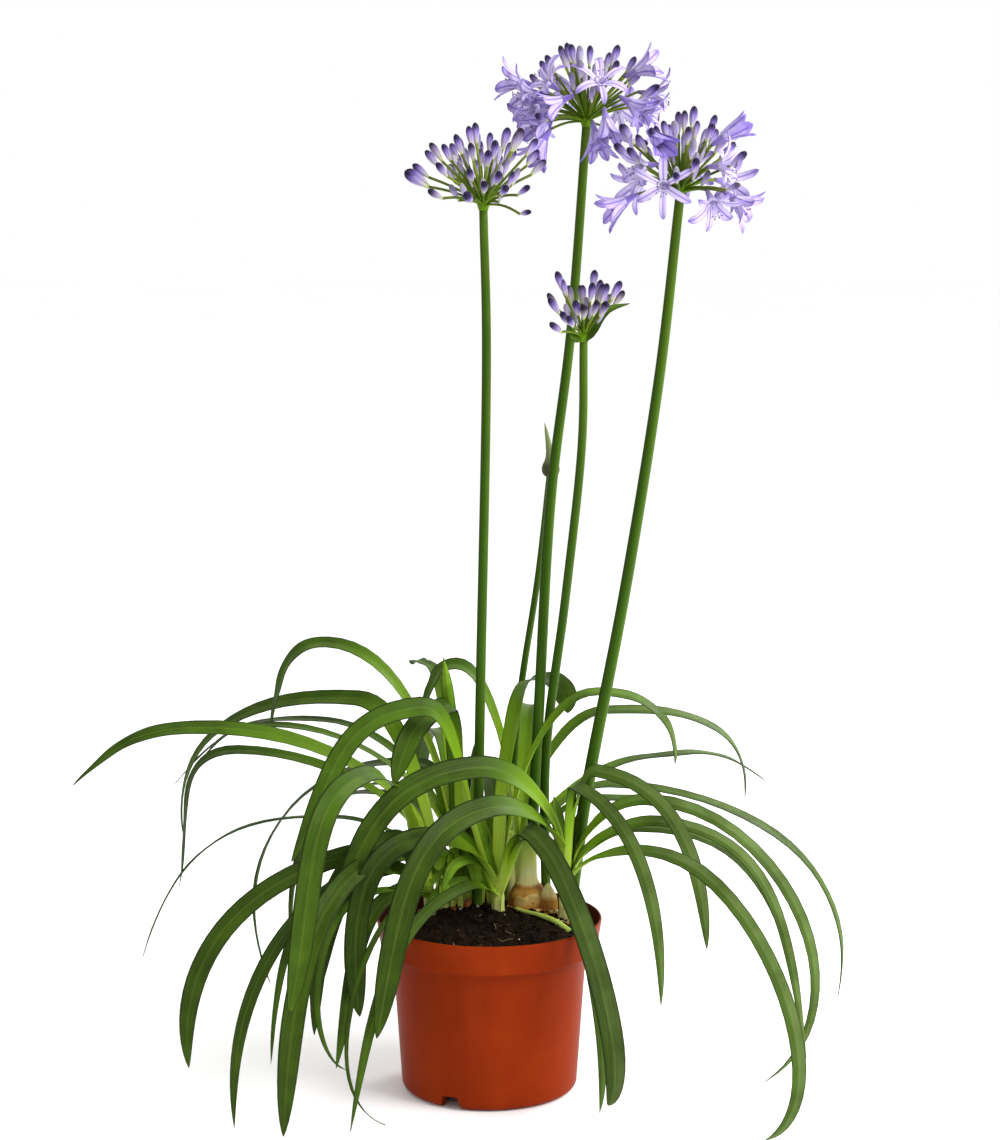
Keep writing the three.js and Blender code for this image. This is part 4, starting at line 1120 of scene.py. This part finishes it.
def add_bulb():
    rng = random.Random(3)
    skin = Skin()
    centre = Vector((*BULB.at, GROUND))
    rows = [
        (-14, 0.92), (0, 0.97), (6, 1), (11, 0.97), (15, 0.86), (18, 0.7), (21, 0.57), (26, 0.52), (36, 0.51),
        (47, 0.5), (BULB.height, 0.38),
    ]
    column(skin, centre, rows, BULB.radius, 40, folded(0.3), ribs=0.02, rib_count=5)
    for k in range(6):
        add_husk(skin, centre, rng, 60 * k + rng.uniform(-20, 20))
    rows = [(-14, 1), (4, 1), (9, 0.9), (14, 0.6), (18, 0.3), (OFFSET_BULB.height, 0)]
    offset = Vector((*OFFSET_BULB.at, GROUND))
    column(skin, offset, rows, OFFSET_BULB.radius, 20, wrapped(0.3, 0.35, 0.35), ribs=0.03, rib_count=4)
    tapered(skin, catmull(SECOND_NECK, 6), (4.6, 3.4), 16, wrapped(0.3, 0.66, 0.24), ribs=0.03)
    runner = catmull([on_soil(*point) for point in RUNNER], 6)
    tapered(skin, runner, (1.2, 2.4), 12, wrapped(0.3, 0.84, 0.1), ribs=0.05, rib_count=2)
    add_flakes(skin, rng)
    settle(skin.build("papery_husks", bulb_finish()), "bulb_skin", "papery_bulb")


def add_flakes(skin, rng):
    """Torn strips of old skin that lie and stand about the bulb, brown or yellow-green."""
    shares = (0, 0.15, 0.3, 0.45, 0.6, 0.75, 0.9, 1)
    marks = [0.45 + 0.25 * i / 7 for i in range(8)]
    for x, y, azimuth, length, tone in FLAKES:
        base = on_soil(x, y, -0.5)
        out = heading(azimuth)
        curl = rng.uniform(0.5, 1)
        bow = [UP * (length * curl * s * (1.2 - s)) for s in shares]
        path = [base + out * (length * s * (1 - 0.4 * s)) + rise for s, rise in zip(shares, bow)]
        widths = [rng.uniform(0.8, 1.1) * 0.5 * length * (1 - 0.7 * s * s) for s in shares]
        rolls = [rng.uniform(-12, 12) for _ in shares]
        blade(skin, path, heading(azimuth + 90), widths, rolls, tone, thin=0.45, marks=marks)


def add_husk(skin, centre, rng, azimuth):
    """A strip of dry outer skin that clings to the bulb and curls away at its torn top."""
    height = rng.uniform(9, 19)
    half = rng.uniform(24, 44)
    steps = 9
    across = (-1, -0.4, 0.4, 1)
    rings = []
    for i in range(steps + 1):
        s = i / steps
        z = -3 + height * s
        girth = BULB.radius * table([(0, 1), (11, 0.98), (17, 0.8), (22, 0.56)], z)
        girth += 0.3 + 4.8 * max(0, s - 0.6) ** 1.5
        width = half * (1 - 0.6 * s**2) + 3 * math.sin(7 * s + azimuth)
        outer = []
        for x in across:
            spoke = heading(azimuth + width * x) * (girth + 0.5 * (1 - x * x))
            outer.append(centre + spoke + UP * (z + s * 1.5 * math.sin(9 * x)))
        inner = [place - heading(azimuth) * 0.45 for place in reversed(outer)]
        coats = [(0.3 + 0.4 * s, 0.5 + 0.3 * x, 0.55) for x in across]
        rings.append(skin.ring(outer + inner, coats + coats[::-1]))
    skin.close(rings)


def add_stalks():
    finish = stalk_finish()
    for k, (name, (points, radii)) in enumerate(STALKS.items()):
        skin = Skin()
        tapered(skin, catmull(points, 14), radii, 24, folded(0.2 * k), ribs=0.02, rib_count=5)
        settle(skin.build(name.replace("stalk", "stem"), finish), "stalk", name)


def add_closed_bud():
    skin = Skin()
    x, y, z = CLOSED_BUD.at
    rows = [
        (0, 0.45), (0.03, 0.74), (0.07, 0.92), (0.12, 1), (0.18, 0.99), (0.24, 0.88), (0.3, 0.68),
        (0.37, 0.5), (0.48, 0.38), (0.65, 0.3), (0.85, 0.18), (1, 0),
    ]
    foot = z - CLOSED_BUD.sunk
    path = [Vector((x + 0.6 - 5 * s * s, y, foot + CLOSED_BUD.length * s)) for s, _ in rows]
    radii = [CLOSED_BUD.radius * share for _, share in rows]
    tube(skin, path, radii, 20, folded(0.6), ribs=0.03, rib_count=4)
    settle(skin.build("sheathed_bud", closed_bud_finish()), "stalk", "closed_bud")


# ---------------------------------------------------------------- umbels


def add_pedicel(stems, at, foot, tone):
    """A thin stem from the receptacle to a flower's foot, bowed upward most where it runs level."""
    steps = PEDICEL.steps
    reach = foot - at
    start = at + reach.normalized() * 3
    lift = 0.06 * reach.length * (1 - max(0, reach.normalized().z))
    bow = [UP * (lift * math.sin(math.pi * i / steps)) for i in range(steps + 1)]
    path = [lerp(start, foot, i / steps) + bow[i] for i in range(steps + 1)]
    tapered(stems, path, PEDICEL.radii, PEDICEL.sides, wrapped(tone))


def add_bud(petals, stems, at, tip, size, lift, tone, rng):
    length = BUD.length * (0.92 + 0.16 * rng.random()) * (0.55 + 0.45 * size)
    axis = ((tip - at).normalized() + UP * lift).normalized()
    base = tip - axis * length
    add_pedicel(stems, at, base, rng.random())
    path = [base + axis * (length * s) for s, _ in BUD_SHAPE]
    radius = BUD.radius * size * (0.92 + 0.16 * rng.random())
    tube(petals, path, [radius * share for _, share in BUD_SHAPE], BUD.sides, folded(tone), ribs=0.05)


def add_tepal(petals, throat, axis, radial, sideways, open_, inner, tone, rng):
    """One petal of an open floret, from the rim of its tube to its curled tip."""
    steps = FLORET.steps
    first = 14 + 30 * open_
    final = 30 + 105 * open_ + rng.uniform(-14, 14)
    length = FLORET.tepal * rng.uniform(0.9, 1.06)
    wide = FLORET.width * (1.08 if inner else 0.84) * (1.28 - 0.48 * open_)
    out = FLORET.throat * (0.72 if inner else 0.88)
    ahead = -2.5
    twist = rng.uniform(-22, 22)
    path = []
    widths = []
    for i in range(steps + 1):
        s = i / steps
        angle = math.radians(lerp(first, final, s**1.4))
        if i:
            out += length / steps * math.sin(angle)
            ahead += length / steps * math.cos(angle)
        path.append(throat + axis * ahead + radial * out)
        body = 0.55 + 0.45 * math.sin(math.pi * (0.1 + 0.75 * s))
        blunt = math.sqrt(max(0.02, 1 - max(0, (s - 0.7) / 0.3) ** 2))
        widths.append(wide * body * blunt)
    rolls = [twist * i / steps for i in range(steps + 1)]
    marks = [0.34 + 0.66 * i / steps for i in range(steps + 1)]
    phase = rng.uniform(0, 6.3)
    blade(petals, path, sideways, widths, rolls, tone, thin=0.5, wave=0.2, phase=phase, marks=marks)


def add_floret(petals, stems, at, base, to, open_, rng):
    foot = at + Vector(base)
    axis = (Vector(to) - Vector(base)).normalized()
    tone = min(1, 0.15 + 0.7 * open_ + rng.uniform(-0.15, 0.15))
    add_pedicel(stems, at, foot, rng.random())
    side = axis.cross(UP if abs(axis.z) < 0.9 else RIGHT).normalized()
    # Rows of the tube, up its outside and a little way down its inside: place, radius, ribs and coat.
    outside = [(0, 1.3), (0.15, 1.7), (0.4, 2.2), (0.7, 3.1), (1, FLORET.throat)]
    rows = [(s, radius, 0.05, 0.3 * s) for s, radius in outside]
    rows += [(1, FLORET.throat - 0.5, 0, 0.42), (0.6, 2.2, 0, 0.42)]
    sides = FLORET.sides
    rings = []
    for s, radius, ribs, mark in rows:
        places = round_ring(foot + axis * (FLORET.tube * s), axis, side, ribbed(radius, sides, ribs, 6))
        rings.append(petals.ring(places, [(mark, j / sides, tone) for j in range(sides)]))
    petals.close(rings)
    throat = foot + axis * FLORET.tube
    up = axis.cross(side)
    for i in range(6):
        middle = math.pi * (2 * i + 1) / 6
        radial = side * math.cos(middle) + up * math.sin(middle)
        sideways = up * math.cos(middle) - side * math.sin(middle)
        add_tepal(petals, throat, axis, radial, sideways, open_, i % 2 == 0, tone, rng)
    add_stamens(petals, throat, axis, side, up, open_, rng)


def add_stamens(petals, throat, axis, side, up, open_, rng):
    """Six thin filaments with small anthers, leaning to the lower side of the mouth."""
    for i in range(6):
        angle = math.pi * i / 3 + 0.4
        radial = side * math.cos(angle) + up * math.sin(angle)
        length = rng.uniform(9, 13) * (0.7 + 0.3 * open_)
        reach = 0.8 + 2.2 * open_
        path = [
            throat + axis * (-3 + (length + 3) * s) + radial * (1.2 + reach * s * s) - UP * (2.4 * s * s)
            for s in (0, 0.25, 0.5, 0.75, 1)
        ]
        petals.finish = 2
        tube(petals, path, [0.3, 0.28, 0.26, 0.24, 0.2], 5, wrapped(0.5))
        petals.finish = 1
        cross = radial * 0.8 + axis * 0.4
        anther = [path[-1] + cross * s for s in (-1, -0.6, 0, 0.6, 1)]
        tube(petals, anther, [0.15, 0.38, 0.46, 0.38, 0], 6, wrapped(0.5), side=axis)
    petals.finish = 0


def add_bract(stems, at, width, roll, points):
    path = catmull([at + Vector(point) for point in points], 6)
    last = len(path) - 1
    out = Vector(points[-1])
    side = Vector((-out.y, out.x, 0)).normalized()
    widths = [width * table(BRACT_WIDTHS, i / last) for i in range(last + 1)]
    marks = [0.4 + 0.5 * i / last for i in range(last + 1)]
    blade(stems, path, side, widths, [roll] * (last + 1), 0.7, marks=marks)


def ruled_tips(rule, reach, rng):
    """More bud tips over the far side, on a golden spiral with a little scatter."""
    low = math.cos(math.radians(rule["to"]))
    high = math.cos(math.radians(rule["from"]))
    for k in range(rule["count"]):
        up = lerp(high, low, (k + 0.5) / rule["count"])
        out = heading((GOLDEN_ANGLE * k) % 180 + rng.uniform(-8, 8)) * math.sqrt(1 - up * up)
        yield (out + UP * up) * (reach * rng.uniform(0.9, 1.05))


def add_umbel(name, shape, finishes):
    rng = random.Random(shape["ruled"]["seed"])
    at = Vector(shape["at"])
    reach = shape["reach"]
    grey = shape["grey"]
    petals = Skin()
    stems = Skin()
    height = RECEPTACLE.height
    rows = [(-1, 0.72), (-0.5, 0.85), (0, 1), (0.4, 0.9), (0.8, 0.55), (1, 0)]
    rows = [(height * share, radius) for share, radius in rows]
    column(stems, at, rows, RECEPTACLE.radius, 16, wrapped(0.5, 0, 0.2))
    petals.finish = 3
    for x, z, where, *size in shape["buds"]:
        tip = at + Vector((x, where * math.sqrt(max(0, reach**2 - x * x - z * z)), z))
        add_bud(petals, stems, at, tip, size[0] if size else 1, 0.22, rng.uniform(grey, 0.75 + grey), rng)
    for tip in ruled_tips(shape["ruled"], reach, rng):
        add_bud(petals, stems, at, at + tip, 1, 0.22, rng.uniform(grey, 0.75 + grey), rng)
    for tip in shape["young"]:
        add_bud(petals, stems, at, at + Vector(tip), 0.8, 0.9, rng.uniform(0, 0.2), rng)
    petals.finish = 0
    for base, to, open_ in shape["florets"]:
        add_floret(petals, stems, at, base, to, open_, rng)
    stems.finish = 1
    for width, roll, points in shape["bracts"]:
        add_bract(stems, at, width, roll, points)
    tepal, anther, filament, bud, pedicel, leaf = finishes
    settle(petals.build(name.replace("umbel", "flowers"), tepal, anther, filament, bud), "flower", name)
    settle(stems.build(name.replace("umbel", "pedicels"), pedicel, leaf), "stalk", name)


def add_umbels():
    petal_finishes = (tepal_finish(), anther_finish(), filament_finish(), bud_finish())
    finishes = (*petal_finishes, pedicel_finish(), leaf_finish())
    for name, shape in UMBELS.items():
        add_umbel(name, shape, finishes)


# ---------------------------------------------------------------- studio


def add_studio():
    floor = Skin()
    rings = [floor.ring(circle(radius, -0.3, 64)) for radius in (9000, 2000, 400)]
    floor.band(rings[0], rings[1])
    floor.band(rings[1], rings[2])
    floor.cone(rings[2], floor.point(UP * -0.3))
    floor.build("studio_floor", floor_finish())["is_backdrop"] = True
    world = bpy.data.worlds.new("studio")
    world.use_nodes = True
    world.node_tree.nodes["Background"].inputs["Color"].default_value = (1, 1, 1, 1)
    world.node_tree.nodes["Background"].inputs["Strength"].default_value = 1.0
    bpy.context.scene.world = world
    add_light("key", (1.7, -0.9, 1.5), (0.02, 0, 0.4), 1.5, 60)
    add_light("rim", (1.2, 1.3, 1.2), (0.02, 0, 0.4), 0.9, 16)


def add_light(name, place, target, size, power):
    lamp = bpy.data.lights.new(name, "AREA")
    lamp.shape = "DISK"
    lamp.size = size
    lamp.energy = power
    light = bpy.data.objects.new(name, lamp)
    light.location = place
    light.rotation_euler = (Vector(target) - Vector(place)).to_track_quat("-Z", "Y").to_euler()
    bpy.context.scene.collection.objects.link(light)


# The view: distance in front of the pot, height and sideways place in metres, tilt down in degrees, and a
# lens that gives 3140 image rows for each metre across at one metre.
VIEW = Sizes(distance=2.3, height=0.768, sideways=0.0081, tilt=9.17, rows_per_tangent=3140, rows=1140)


def add_camera():
    data = bpy.data.cameras.new("view")
    data.sensor_fit = "VERTICAL"
    data.sensor_height = 36
    data.lens = 36 * VIEW.rows_per_tangent / VIEW.rows
    data.clip_end = 30
    camera = bpy.data.objects.new("view", data)
    camera.location = (VIEW.sideways, -VIEW.distance, VIEW.height)
    camera.rotation_euler = (math.radians(90 - VIEW.tilt), 0, 0)
    bpy.context.scene.collection.objects.link(camera)
    bpy.context.scene.camera = camera


def write_sizes():
    boxes = {"cad": cad_box, "visual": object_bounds()}
    {key: [list(corner) for corner in box] for key, box in boxes.items()}


bpy.context.scene.view_settings.view_transform = "Standard"
add_camera()
add_pot()
add_soil()
add_crumbs()
add_root_hairs()
add_shoots()
add_bulb()
add_stalks()
add_closed_bud()
add_umbels()
add_studio()
bpy.context.view_layer.update()
write_sizes()
